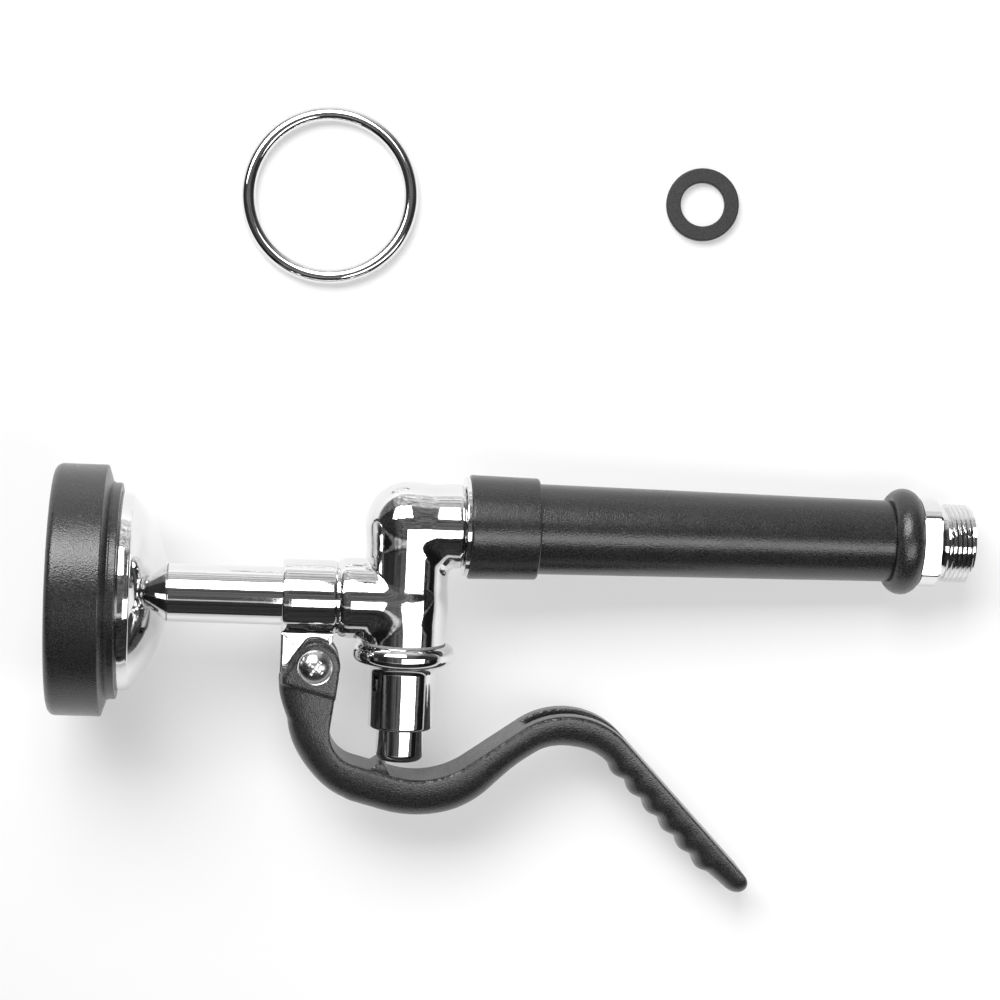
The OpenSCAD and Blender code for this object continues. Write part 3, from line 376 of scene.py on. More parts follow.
# Its three ends are turned flat: each is cut off in a plane and closed.
flat_ends = [((0, BARREL_LOW, 0), (0, -1, 0)), ((STUB_END, 0, 0), (1, 0, 0)), ((GROOVE_X, 0, 0), (-1, 0, 0))]
shell = bmesh.new()
shell.from_mesh(body.data)
for spot, way_out in flat_ends:
    every = list(shell.verts) + list(shell.edges) + list(shell.faces)
    bmesh.ops.bisect_plane(shell, geom=every, dist=1e-7, plane_co=laid(spot),
                           plane_no=axes @ np.array(way_out, float), clear_outer=True)
    rim = [edge for edge in shell.edges if edge.is_boundary]
    bmesh.ops.holes_fill(shell, edges=rim, sides=0)
shell.to_mesh(body.data)
shell.free()
body.data.shade_smooth()
body.data.set_sharp_from_angle(angle=np.radians(50))
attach(body, "sprayer")
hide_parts("valve_body")

# The collar that holds the nozzle tube is turned on the same casting, behind a narrow groove.
COLLAR_R, COLLAR_FACE, COLLAR_END, NECK_BORE = 9.9, -32.7, -18.4, 4.5
TUBE_R, TUBE_START, TUBE_PLAY = 7.7, -21.7, 0.05


def outline(corners, gap=0.7, turns=7):
    """A turned outline from corners (place along the axis, radius, rounding): each corner with a
    rounding becomes an arc that touches both sides, and points follow along the straight runs, with
    one close to each arc so that flat faces stay flat to the eye."""
    corners = np.array([(*corner, 0)[:3] for corner in corners], float)
    spots, roundings = corners[:, :2], corners[:, 2]
    to_last, to_next = np.roll(spots, 1, 0) - spots, np.roll(spots, -1, 0) - spots
    far_last, far_next = (np.linalg.norm(v, axis=1) for v in (to_last, to_next))
    unit_last, unit_next = to_last / far_last[:, None], to_next / far_next[:, None]
    half = np.arccos(np.clip((unit_last * unit_next).sum(1), -1, 1)) / 2
    cut = np.minimum(roundings / np.maximum(np.tan(half), 1e-6), 0.46 * np.minimum(far_last, far_next))
    runs = []
    for spot, near, far, angle, length in zip(spots, unit_last, unit_next, half, cut):
        if length < 1e-6:
            runs.append(spot[None])
            continue
        r = length * np.tan(angle)
        centre = spot + (near + far) / np.linalg.norm(near + far) * np.hypot(length, r)
        start, end = spot + near * length - centre, spot + far * length - centre
        t = np.linspace(0, 1, turns)[:, None]
        swing = np.pi - 2 * angle
        arc = (np.sin((1 - t) * swing) * start + np.sin(t * swing) * end) / np.sin(swing)
        runs.append(centre + arc)
    line = []
    for run, after in zip(runs, runs[1:] + runs[:1]):
        a, b = run[-1], after[0]
        far = np.linalg.norm(b - a)
        steps = np.linspace(0, 1, max(2, int(far / gap) + 2))[1:-1]
        close = min(0.05 / max(far, 1e-6), 0.2)
        line.append(run)
        if far > 0.05:
            steps = np.concatenate([[close], steps[(steps > close) & (steps < 1 - close)], [1 - close]])
            line.append(a + steps[:, None] * (b - a))
    return np.concatenate(line)


def turned(name, profile, along, centre, material, steps=160):
    """A turned piece: each point (place, radius) of the closed outline goes round the axis, so that
    across it lies at the radius times the cosine and the sine of the angle."""
    angle = np.linspace(0, 2 * np.pi, steps, endpoint=False)
    place, radius = profile[:, :1], profile[:, 1:2]
    across = [n for n in range(3) if n != along]
    points = np.zeros((len(profile), steps, 3))
    points[..., along] = place + centre[along]
    points[..., across[0]] = radius * np.cos(angle) + centre[across[0]]
    points[..., across[1]] = radius * np.sin(angle) + centre[across[1]]
    faces = grid_faces(len(profile), steps, True, True)
    return make_piece(name, laid(points.reshape(-1, 3)), faces, material)


def crowned(start, end, radius, soft_start, soft_end, drop):
    """The outline of a turned band whose ends fall away by the drop, each in a quarter of an oval."""
    t = np.linspace(0, np.pi / 2, 9)
    fall = radius - drop * (1 - np.sin(t))
    return np.concatenate([np.stack([start + soft_start * (1 - np.cos(t)), fall], 1),
                           np.stack([end - soft_end * (1 - np.cos(t)), fall], 1)[::-1]])


# Each axis: the direction it runs in, and a point on it.
NOZZLE, GRIP, BARREL = (0, (0, 0, 0)), (0, (0, GRIP_Y, 0)), (1, (0, 0, 0))
tube_way = TUBE_R + TUBE_PLAY
collar = turned("nozzle_collar", np.concatenate([
    [(TUBE_START, tube_way), (COLLAR_FACE + 0.2, tube_way), (COLLAR_FACE, tube_way + 0.2)],
    crowned(COLLAR_FACE, COLLAR_END, COLLAR_R, soft_start=1.7, soft_end=1.1, drop=0.45),
    [(COLLAR_END, GROOVE_R), (GROOVE_X, GROOVE_R), (GROOVE_X, NECK_BORE), (TUBE_START, NECK_BORE)]]),
    *NOZZLE, polished)
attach(collar, "sprayer")

# The tab under the collar, cast on too, is a flat plate with a round eye for the pivot's bush.
TAB_HALF, TAB_EYE, TAB_EDGE, TAB_CORNER, TAB_CORNER_Y, TAB_FLANK = 3.0, 6.4, 0.5, 0.6, -2.5, 0.717


def slab(name, rim, low, high, edge, material, place=laid, turns=5):
    """A flat plate with rounded edges: its rim, drawn in by the edge's rounding at both faces. The
    rim is a closed run of points, left-handed or right, and drawing in goes along its own normals."""
    ahead = np.roll(rim, -1, 0) - np.roll(rim, 1, 0)
    normal = np.stack([ahead[:, 1], -ahead[:, 0]], 1) / np.linalg.norm(ahead, axis=1)[:, None]
    x, y = rim.T
    if (x * np.roll(y, -1) - y * np.roll(x, -1)).sum() < 0:
        normal = -normal
    swing = np.linspace(0, np.pi / 2, turns)
    drawn_in, risen = edge * (1 - np.sin(swing)), edge * (1 - np.cos(swing))
    inset = np.concatenate([[edge * 1.4], drawn_in, drawn_in[::-1], [edge * 1.4]])
    height = np.concatenate([[low], low + risen, high - risen[::-1], [high]])
    rings = rim[None] - inset[:, None, None] * normal[None]
    points = np.concatenate([rings, np.broadcast_to(height[:, None, None], (len(height), len(rim), 1))], 2)
    middle = rim.mean(0)
    ends = np.array([[*middle, low], [*middle, high]])
    count = len(rim)
    sides = grid_faces(len(height), count, False, True)
    here = np.arange(count)
    there = (here + 1) % count
    last = (len(height) - 1) * count
    low_middle, high_middle = (np.full(count, len(height) * count + end) for end in (0, 1))
    caps = [np.stack([there, here, low_middle, low_middle], 1),
            np.stack([last + here, last + there, high_middle, high_middle], 1)]
    points = np.concatenate([points.reshape(-1, 3), ends])
    return make_piece(name, place(points), np.concatenate([sides] + caps), material)


def arc(cx, cy, r, start, end, count):
    """Points of a round arc, from one angle in degrees to another."""
    angle = np.radians(np.linspace(start, end, count))
    return np.stack([cx + r * np.cos(angle), cy + r * np.sin(angle)], 1)


tab_top = -(TUBE_R + TUBE_PLAY + COLLAR_R) / 2
tab_right = PIVOT[0] + TAB_FLANK * TAB_EYE
tab_rim = np.concatenate([
    np.stack([np.full(24, COLLAR_FACE), np.linspace(tab_top, PIVOT[1] + TAB_CORNER_Y + 0.1, 24)], 1),
    arc(COLLAR_FACE + TAB_CORNER, PIVOT[1] + TAB_CORNER_Y, TAB_CORNER, 180, 240, 5),
    arc(PIVOT[0], PIVOT[1], TAB_EYE, 213, 411, 70),
    np.stack([np.full(12, tab_right), np.linspace(PIVOT[1] + 6, tab_top, 12)], 1)])
tab = slab("lever_tab", tab_rim, -TAB_HALF, TAB_HALF, TAB_EDGE, polished)
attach(tab, "sprayer")

# ---- Bonnet and plunger ----
# The bonnet is turned brass, chrome plated: it screws up into the barrel, its round bead seats on
# a fibre gasket, and it guides the push pin that the lever's rib lifts.
BEAD_R, BEAD_TOP, BEAD_LOW, BEAD_ROUND = 13.5, -11.6, -17.0, 2.4
BONNET_R, BONNET_LOW, BONNET_CORNER, BONNET_EDGE, GUIDE_TOP, GUIDE_PLAY = 8.8, -34.3, 2.2, 0.8, -19.7, 0.1
SPIGOT_TOP, SPIGOT_R, POCKET_LOW, POCKET_R, STEM_WAY = -5.5, 8.1, -11.9, 4.35, 2.6
PIN_R, PIN_LOW, PIN_TOP, PIN_ROUND, STEM_R, STEM_LOW = 6.4, -43.1, -26.9, 2.0, 2.55, -37.1
guide_r = PIN_R + GUIDE_PLAY
bonnet = turned("bonnet_turned", outline([
    (SPIGOT_TOP, POCKET_R, 0), (SPIGOT_TOP, SPIGOT_R, 0.3), (BEAD_TOP, SPIGOT_R, 0), (BEAD_TOP, BEAD_R, BEAD_ROUND),
    (BEAD_LOW, BEAD_R, BEAD_ROUND), (BEAD_LOW, BONNET_R, BONNET_CORNER), (BONNET_LOW, BONNET_R, BONNET_EDGE),
    (BONNET_LOW, guide_r, 0.25), (GUIDE_TOP, guide_r, 0), (GUIDE_TOP, STEM_WAY, 0), (POCKET_LOW, STEM_WAY, 0),
    (POCKET_LOW, POCKET_R, 0)], turns=11), *BARREL, polished)
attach(bonnet, "sprayer")
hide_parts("bonnet")

pin = turned("push_pin", outline([
    (PIN_LOW, 0, 0), (PIN_LOW, PIN_R, PIN_ROUND), (PIN_TOP, PIN_R, 0.3), (PIN_TOP, STEM_R, 0),
    (STEM_LOW, STEM_R, 0), (STEM_LOW, 0, 0)], turns=11), *BARREL, polished)
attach(pin, "plunger")
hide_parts("plunger")

# ---- Nozzle tube and bell ----
# Drawn brass tube, chrome plated, screwed into the collar. The bell is spun and plated: a dome on
# the tube's end with a slightly crowned rim, a hub and three webs inside that carry the plate's screw.
TUBE_BORE, TUBE_END, HUB_FACE = 5.4, -69.1, -62.8
MARK_FROM, MARK_TO, MARK_R = HUB_FACE - 0.2, HUB_FACE + 0.1, TUBE_R - 0.5
SEAL_FROM, SEAL_TO, SEAL_R = -28.0, -26.4, TUBE_R - 1.35
DOME_R, BELL_R, BELL_WALL, RIM_X = 38.7, 26.1, 1.6, -87.55
DOME_X = HUB_FACE - np.sqrt(DOME_R ** 2 - TUBE_R ** 2)
BAND_MID, BAND_HALF, BAND_DROP, BAND_FOOT, LEDGE_WIDE = -73.9, 1.6, 0.2, -76.5, 1.5
PLATE_BACK, LEDGE_X, HUB_END, HUB_R, POST_R, POST_BORE = -84.75, -83.55, -71.1, 10.4, 3.4, 1.55
WEB_HALF, WEB_START, WEB_EDGE = 0.9, -3.9, 0.2
tube = turned("nozzle_tube_drawn", outline([
    (TUBE_END, TUBE_BORE, 0.2), (TUBE_END, TUBE_R, 0.3), (MARK_FROM, TUBE_R, 0), (MARK_FROM, MARK_R, 0),
    (MARK_TO, MARK_R, 0), (MARK_TO, TUBE_R, 0.45), (SEAL_FROM, TUBE_R, 0), (SEAL_FROM, SEAL_R, 0),
    (SEAL_TO, SEAL_R, 0), (SEAL_TO, TUBE_R, 0), (TUBE_START, TUBE_R, 0.3), (TUBE_START, TUBE_BORE, 0.2)]),
    *NOZZLE, polished)
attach(tube, "sprayer")
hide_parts("nozzle_tube")


def dome(r, from_r, to_r, count):
    """The part of a dome about DOME_X between two distances from the axis."""
    at = np.linspace(np.arcsin(from_r / r), np.arcsin(to_r / r), count)
    return np.stack([DOME_X + r * np.cos(at), r * np.sin(at)], 1)


plate_r, ledge_r = BELL_R - BELL_WALL, BELL_R - BELL_WALL - LEDGE_WIDE
band = np.linspace(BAND_HALF, -1.4, 13)
bell_outline = np.concatenate([
    dome(DOME_R, tube_way, BELL_R - 0.45, 70),
    arc(DOME_X + np.sqrt(DOME_R ** 2 - BELL_R ** 2) - 0.25, BELL_R - 0.95, 0.8, 38, 72, 5),
    np.stack([BAND_MID + band, BELL_R - BAND_DROP * (band / BAND_HALF) ** 2], 1),
    outline([(BAND_FOOT, BELL_R, 0), (RIM_X, BELL_R, 0.3), (RIM_X, plate_r, 0.3), (LEDGE_X, plate_r, 0),
             (LEDGE_X, ledge_r, 0)])[:-1],
    dome(DOME_R - BELL_WALL, ledge_r, HUB_R, 30)[:0:-1],
    np.array([(HUB_END, HUB_R), (HUB_END, TUBE_BORE), (TUBE_END, TUBE_BORE), (TUBE_END, tube_way)])])
bell = turned("spray_bell_spun", bell_outline, *NOZZLE, polished, steps=256)
web_from, web_to = HUB_END + WEB_START, HUB_END + 0.6
post = turned("plate_post", outline([
    (PLATE_BACK, POST_BORE, 0), (PLATE_BACK, POST_R, 0.3), (web_to, POST_R, 0), (web_to, POST_BORE, 0)]),
    *NOZZLE, polished, steps=64)
web_in, web_out = POST_R - 0.4, HUB_R - 0.3
web_rim = np.array([(web_from, web_in), (web_to, web_in), (web_to, web_out), (web_from, web_out)])
for turned_to in (0, 120, 240):
    angle = np.radians(turned_to)
    out, across = np.array([0, np.sin(angle), -np.cos(angle)]), np.array([0, np.cos(angle), np.sin(angle)])
    web = slab("bell_web_%d" % turned_to, web_rim, -WEB_HALF, WEB_HALF, WEB_EDGE, polished,
               place=lambda p, o=out, c=across: laid(p[:, :1] * [[1, 0, 0]] + p[:, 1:2] * o + p[:, 2:] * c))
    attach(web, "sprayer")
for piece in (bell, post):
    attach(piece, "sprayer")
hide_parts("spray_bell")

# ---- Bumper ----
# A moulded black rubber rim that snaps over the bell. Its band has a fine spark-eroded grain, and a
# steep shoulder falls from it to the parting line and the thin lip that grips the bell.
BUMPER_R, BUMPER_X, SHOULDER_X, BUMPER_BACK, LIP_END = 33.0, -92.75, -79.45, -77.55, -75.25
SEAT_R, LIP_R, HOLD_R, BUMPER_ROUND, SHOULDER_FOOT, LIP_BEAD = 26.15, 28.4, 24.9, 2.2, 0.4, 0.3


def black(name, tone, rough, grain, grain_size, sheen=0.4, grain_and_sparkle_spread=0.3):
    """Black rubber or plastic: a fine grain of raised grits, as high and as wide as given in metres,
    a slower mottle in how dull it is, and paler grit tops, partly the grain's own tone and partly painted sparkle."""
    paint = bpy.data.materials.new(name)
    paint.use_nodes = True
    add, join = nodes_of(paint.node_tree)
    skin = add("ShaderNodeBsdfPrincipled", {"Specular IOR Level": sheen})
    place = add("ShaderNodeTexCoord")
    grits = add("ShaderNodeTexNoise", {"Scale": 1.0 / grain_size, "Detail": 0.0})
    mottle = add("ShaderNodeTexNoise", {"Scale": 120.0, "Detail": 4.0})
    dull = add("ShaderNodeMapRange", {"From Min": 0.3, "From Max": 0.7, "To Min": rough - 0.04,
                                      "To Max": rough + 0.04})
    # Paler tops of the grits: partly the grain's own tone, partly painted sparkle that stands in for light glinting
    # off them.
    grit_tone_and_sparkle = add("ShaderNodeMapRange", {"From Min": 0.35, "From Max": 0.75, "To Min": tone * (1 - grain_and_sparkle_spread),
                                       "To Max": tone * (1 + grain_and_sparkle_spread)})
    shade = add("ShaderNodeCombineColor")
    rise = add("ShaderNodeBump", {"Strength": 1.0, "Distance": grain})
    for texture in (grits, mottle):
        join(place.outputs["Object"], texture.inputs["Vector"])
    join(mottle.outputs[0], dull.inputs["Value"])
    join(grits.outputs[0], grit_tone_and_sparkle.inputs["Value"])
    for channel in shade.inputs:
        join(grit_tone_and_sparkle.outputs[0], channel)
    join(grits.outputs[0], rise.inputs["Height"])
    join(dull.outputs[0], skin.inputs["Roughness"])
    join(shade.outputs[0], skin.inputs["Base Color"])
    join(rise.outputs[0], skin.inputs["Normal"])
    join(skin.outputs[0], add("ShaderNodeOutputMaterial").inputs[0])
    return paint


bumper_rubber = black("bumper_rubber", tone=0.026, rough=0.26, grain=0.000065, grain_size=0.00036, sheen=0.7,
                      grain_and_sparkle_spread=0.5)
bumper = turned("bumper_rim", outline([
    (SHOULDER_X + SHOULDER_FOOT, BUMPER_R, 0.4), (BUMPER_X, BUMPER_R, BUMPER_ROUND), (BUMPER_X, HOLD_R, 1.6),
    (RIM_X, HOLD_R, 0), (RIM_X, SEAT_R, 0), (LIP_END, SEAT_R, 0.2), (LIP_END, LIP_R, 0.35),
    (BUMPER_BACK + 0.42, LIP_R, 0.1), (BUMPER_BACK + 0.25, LIP_R + LIP_BEAD, 0.14),
    (BUMPER_BACK - 0.1, LIP_R + LIP_BEAD - 0.05, 0.1)], turns=9), *NOZZLE, bumper_rubber, steps=256)
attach(bumper, "sprayer")
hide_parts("bumper")

# ---- Lever ----
# Cast and coated black, with a fine even grain: two ears on the pivot, an arm down to the heel, a
# sweep under the push pin with the rib that lifts it, a crest, and a finger rest with six ridges.
LEVER_HALF, EAR_R, FORK_HALF, FORK_FLOOR, LEAN = 8.5, 6.6, 3.35, 8.0, 7.2
SCREW_WAY, ARM_START = 2.56, PIVOT + (EAR_R, 0)
RIB_X, RIB_Y, RIB_R, RIB_HALF = -5.4, -45.3462, 2.1, 6.0

# The inner face runs from the ears to the tip: each run's length, and how far it turns, in degrees.
# Depths are stops along it: a run, the share of that run, and the depth behind the face there.
RUNS = [(16.4291, 0), (12.7685, 82.2), (11.0, 0), (20.502, 50.2), (17.4, 0), (30.62, -81.6), (53.0, 0)]
DEPTHS = [(0, 0.37, 15.2), (1, 0.59, 9.0), (2, 0.27, 10.5), (3, 0.59, 10.5), (4, 0.75, 8.1), (5, 0.5, 9.0),
          (6, 0.15, 7.3), (6, 0.74, 7.3), (6, 0.96, 6.2)]
RIDGES, RIDGE_PITCH, RIDGE_H, RIDGE_MARGIN, NOSE = 6, 6.9, 1.1, 9.8, 4.0

# The section grows squarer and a little narrower towards the ears.
SQUARENESS, SQUARER, NARROWER, SQUARE_FROM, SQUARE_OVER = 0.72, 2.6, 0.2, 22, 10

# The ears' cheek is a flat with six sides, and its upper flank is shaved off at a slant: the way
# that flank faces, and how far it lies from the pivot.
CHEEK = np.array([(-32.15, -22.4), (-32.1, -19.75), (-27.0, -12.75), (-23.5, -10.85), (-16.95, -17.4),
                  (-17.9, -26.0)])
FLANK_X, FLANK_Y, FLANK_OUT = -0.808, 0.589, 5.57
LEVER_LOW, LEVER_HIGH, LEVER_CELL = (-36, -80, -9.2), (98.5, -8.5, 9.2), 0.5
lever_black = black("lever_coating", tone=0.028, rough=0.26, grain=0.00006, grain_size=0.00033, sheen=0.65,
                    grain_and_sparkle_spread=0.5)
marks = np.concatenate([[0], np.cumsum([length for length, turn in RUNS])])
face_len = marks[-1]
depth_at = np.array([marks[run] + share * RUNS[run][0] for run, share, depth in DEPTHS])
depth_of = np.array([depth for run, share, depth in DEPTHS])
starts = [(ARM_START, -90 - LEAN)]
for length, turn in RUNS:
    spot, heading = starts[-1]
    h = np.radians(heading)
    if turn:
        r, t = length / np.radians(turn), np.radians(turn)
        spot = spot + r * np.array([np.sin(h + t) - np.sin(h), np.cos(h) - np.cos(h + t)])
    else:
        spot = spot + length * np.array([np.cos(h), np.sin(h)])
    starts.append((spot, heading + turn))


def along_face(x, y):
    """For each point, how far along the lever's inner face its nearest place lies, and how deep the
    point is behind that face. Each run is a straight line or an arc, and the nearest run counts."""
    best, place, depth = np.full(x.shape, np.inf), np.zeros(x.shape), np.zeros(x.shape)
    for number, ((length, turn), (spot, heading)) in enumerate(zip(RUNS, starts)):
        h = np.radians(heading)
        dx, dy = x - spot[0], y - spot[1]
        if turn:
            r, sense = length / np.radians(abs(turn)), np.sign(turn)
            cx, cy = dx + sense * r * np.sin(h), dy - sense * r * np.cos(h)
            angle = sense * (np.arctan2(cy, cx) - (h - sense * np.pi / 2))
            s = (np.mod(angle + np.pi, 2 * np.pi) - np.pi) * r
            n = sense * (np.hypot(cx, cy) - r)
        else:
            s = dx * np.cos(h) + dy * np.sin(h)
            n = dx * np.sin(h) - dy * np.cos(h)
        over = s - np.clip(s, 0, length)
        if number == len(RUNS) - 1:
            over = np.minimum(over, 0)
        far = np.hypot(over, n) + np.abs(over) * 10
        closer = far < best
        best = np.where(closer, far, best)
        place = np.where(closer, marks[number] + s, place)
        depth = np.where(closer, n, depth)
    return place, depth


def eased(s):
    """The lever's depth after a length along its face, eased from stop to stop by 3t2 - 2t3."""
    i = np.clip(np.searchsorted(depth_at, s) - 1, 0, len(depth_at) - 2)
    t = np.clip((s - depth_at[i]) / (depth_at[i + 1] - depth_at[i]), 0, 1)
    return depth_of[i] + (depth_of[i + 1] - depth_of[i]) * t * t * (3 - 2 * t)


def polygon_field(x, y, corners):
    """How far a point lies outside a polygon that bulges everywhere: the most over its sides."""
    ahead = np.roll(corners, -1, 0) - corners
    normal = np.stack([ahead[:, 1], -ahead[:, 0]], 1) / np.linalg.norm(ahead, axis=1)[:, None]
    return np.max([(x - cx) * nx + (y - cy) * ny for (cx, cy), (nx, ny) in zip(corners, normal)], 0)


if polygon_field(*CHEEK.mean(0), CHEEK) > 0:
    CHEEK = CHEEK[::-1]


def lever_field(points):
    """The lever's field. The section is flat towards the grip and a squared oval behind, drawn in at
    the tip. The ears are a plate about the pivot, the rib is a bar, and the fork is cut out."""
    x, y, z = points.T
    s, n = along_face(x, y)
    ridge_end = face_len - RIDGE_MARGIN
    ridged = (s > ridge_end - RIDGES * RIDGE_PITCH) & (s < ridge_end)
    depth = eased(s)
    full = depth + np.where(ridged, RIDGE_H * np.sin(np.pi * (ridge_end - s) / RIDGE_PITCH) ** 2, 0)
    u = np.clip((s - face_len + NOSE) / NOSE, 0, 1.2)
    k = np.sqrt(np.maximum(1 - u * u, 0.012))
    boxy = np.clip((SQUARE_FROM - s) / SQUARE_OVER, 0, 1)
    boxy = boxy * boxy * (3 - 2 * boxy)
    half = (LEVER_HALF - NARROWER * boxy) * (0.45 + 0.55 * k)
    top, reach = depth / 2 * (1 - k), (full - depth / 2) * k + depth / 2 * k
    power = 2 / SQUARENESS + SQUARER * boxy
    m = np.maximum(n - top, 0)
    oval = ((np.abs(z) / half) ** power + (m / reach) ** power + 1e-9) ** (1 / power)
    bar = (oval - 1) * np.minimum(half, reach) * 0.9
    sweep = -blended(-bar, n - top, 1.0)
    sweep = -blended(-sweep, face_len - s, 0.8)
    sweep = -blended(-sweep, s - 2.5, 0.5)
    ear_x, ear_y = x - PIVOT[0], y - PIVOT[1]
    disc = np.hypot(ear_x, ear_y) - EAR_R
    shaved = FLANK_X * ear_x + FLANK_Y * ear_y - FLANK_OUT
    cheek = -blended(-blended(disc, polygon_field(x, y, CHEEK), 0.2), -shaved, 0.6)
    ears = -blended(-cheek, LEVER_HALF - np.abs(z), 1.3)
    rib = np.maximum(np.hypot(x - RIB_X, y - RIB_Y) - RIB_R, np.abs(z) - RIB_HALF)
    whole = blended(blended(sweep, ears, 0.5), rib, 1.2)
    lean = np.radians(LEAN)
    along_arm = ear_x * np.sin(lean) + ear_y * np.cos(lean)
    fork = np.maximum(np.abs(z) - FORK_HALF, -along_arm - FORK_FLOOR)
    bore = np.hypot(ear_x, ear_y) - SCREW_WAY
    return -blended(-whole, blended(fork, bore, 0.2), 0.6)


points, faces = skin_of(lever_field, LEVER_LOW, LEVER_HIGH, LEVER_CELL)
lever = make_piece("squeeze_lever", laid(points), faces, lever_black, weld=False, sharp=60)
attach(lever, "lever")
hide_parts("lever")

# ---- Pivot screw ----
# A plated steel screw with a low domed head and a cross recess, through both ears and the bush in
# the tab, with a nut on the far side.
HEAD_LOW, HEAD_R, HEAD_RISE, SCREW_R, SCREW_TAIL = 8.65, 4.7, 2.4, 2.5, -12.45
CROSS_LONG, CROSS_HALF, CROSS_DEEP, CROSS_TURN, CROSS_FADE = 2.1, 0.42, 0.45, 0.6, 2.6
screw_chrome = chrome("screw_chrome", tone=0.62, worn=1.6, dull_at=0.2)
ring_r = np.concatenate([np.linspace(0.001, 3.2, 60), np.linspace(3.3, HEAD_R - 0.25, 12)])
angle = np.linspace(0, 2 * np.pi, 240, endpoint=False)
r, a = np.meshgrid(ring_r, angle, indexing="ij")
dome_rad = (HEAD_R ** 2 + HEAD_RISE ** 2) / (2 * HEAD_RISE)
crown = HEAD_LOW + HEAD_RISE - dome_rad + np.sqrt(dome_rad ** 2 - r ** 2)
cross_x, cross_y = np.abs(r * np.cos(a + CROSS_TURN)), np.abs(r * np.sin(a + CROSS_TURN))
arm = np.minimum(np.maximum(cross_x / CROSS_LONG, cross_y / CROSS_HALF),
                 np.maximum(cross_y / CROSS_LONG, cross_x / CROSS_HALF))
recess = CROSS_DEEP * np.clip((1.1 - arm) / 0.35, 0, 1) * np.clip(1.25 - r / CROSS_FADE, 0, 1)
head = np.stack([PIVOT[0] + r * np.cos(a), PIVOT[1] + r * np.sin(a), crown - recess], -1)
edge = np.array([(HEAD_R - 0.05, HEAD_LOW + 0.42), (HEAD_R, HEAD_LOW + 0.25), (HEAD_R - 0.08, HEAD_LOW),
                 (SCREW_R, HEAD_LOW), (SCREW_R, SCREW_TAIL + 0.4), (SCREW_R - 0.4, SCREW_TAIL), (0.001, SCREW_TAIL)])
shank = np.stack([PIVOT[0] + edge[:, :1] * np.cos(angle), PIVOT[1] + edge[:, :1] * np.sin(angle),
                  np.broadcast_to(edge[:, 1:], (len(edge), len(angle)))], -1)
points = np.concatenate([head, shank])
faces = grid_faces(len(points), len(angle), False, True)
screw = make_piece("pivot_screw_head", laid(points.reshape(-1, 3)), faces, screw_chrome)
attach(screw, "sprayer")
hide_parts("pivot_screw")

# ---- Grip ----
# A black moulded collar and a tapered insulating sleeve over the steel water tube, a thin polished
# disc before them and a round rubber ring at the end.
WASHER_R, WASHER_END, CORE_HOLE = 13.2, 15.9, 9.65
CAP_R, CAP_BACK_R, CAP_END, CAP_ROUND, SLEEVE_PLAY = 13.8, 13.45, 34.2, 1.6, 0.05
SLEEVE_R, SLEEVE_BACK_R, SLEEVE_START, SLEEVE_END = 12.0, 10.9, 28.9, 129.2
RING_END, RING_MEAN, RING_HALF = 136.6, 9.75, 4.5
sleeve_way = SLEEVE_R + SLEEVE_PLAY
disc = turned("joint_disc", outline([
    (STUB_END, CORE_HOLE, 0), (STUB_END, WASHER_R, 0.25), (WASHER_END, WASHER_R, 0.25), (WASHER_END, CORE_HOLE, 0)]),
    *GRIP, polished)
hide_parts("joint_washer")
grip_black = black("grip_plastic", tone=0.024, rough=0.24, grain=0.00005, grain_size=0.00032, sheen=0.65, grain_and_sparkle_spread=0.5)
cap = turned("grip_collar_moulded", outline([
    (WASHER_END, CORE_HOLE, 0), (WASHER_END, CAP_R, 0.5), (CAP_END, CAP_BACK_R, CAP_ROUND),
    (CAP_END, sleeve_way, 0.2), (SLEEVE_START, sleeve_way, 0), (SLEEVE_START, CORE_HOLE, 0)], turns=9),
    *GRIP, grip_black)
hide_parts("grip_collar")
sleeve = turned("grip_sleeve_moulded", outline([
    (SLEEVE_START, CORE_HOLE, 0), (SLEEVE_START, SLEEVE_R, 0.2), (CAP_END, SLEEVE_R, 0),
    (SLEEVE_END, SLEEVE_BACK_R, 0.25), (SLEEVE_END, CORE_HOLE, 0)]), *GRIP, grip_black)
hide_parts("grip_sleeve")
spread = np.degrees(np.arcsin((RING_END - SLEEVE_END) / (2 * RING_HALF)))
bulge = arc((SLEEVE_END + RING_END) / 2, RING_MEAN, RING_HALF, 90 + spread, 90 - spread, 25)
ring_line = np.concatenate([[(SLEEVE_END, CORE_HOLE)], bulge, [(RING_END, CORE_HOLE)]])
end_ring = turned("end_ring_moulded", ring_line, *GRIP, bumper_rubber)
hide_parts("end_ring")
for piece in (disc, cap, sleeve, end_ring):
    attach(piece, "sprayer")

# ---- Inlet connector ----
# Turned brass, chrome plated: a round collar with two spanner flats, a groove, and the outside
# thread that takes the hose's nut, cut with its crests a little rounded.
SPANNER_R, SPANNER_HALF, SPANNER_END, RELIEF_END, INLET_END = 11.95, 8.9, 141.9, 144.0, 151.2
THREAD_R, THREAD_DEEP, THREAD_PITCH, THREAD_ROOT, RELIEF_R, BORE_R = 10.4775, 0.72, 1.27, 9.0, 9.4775, 6.0
SOCKET_START, SOCKET_R, RING_FROM, RING_TO, RING_R = 124.6, 7.55, 129.8, 131.4, 6.2

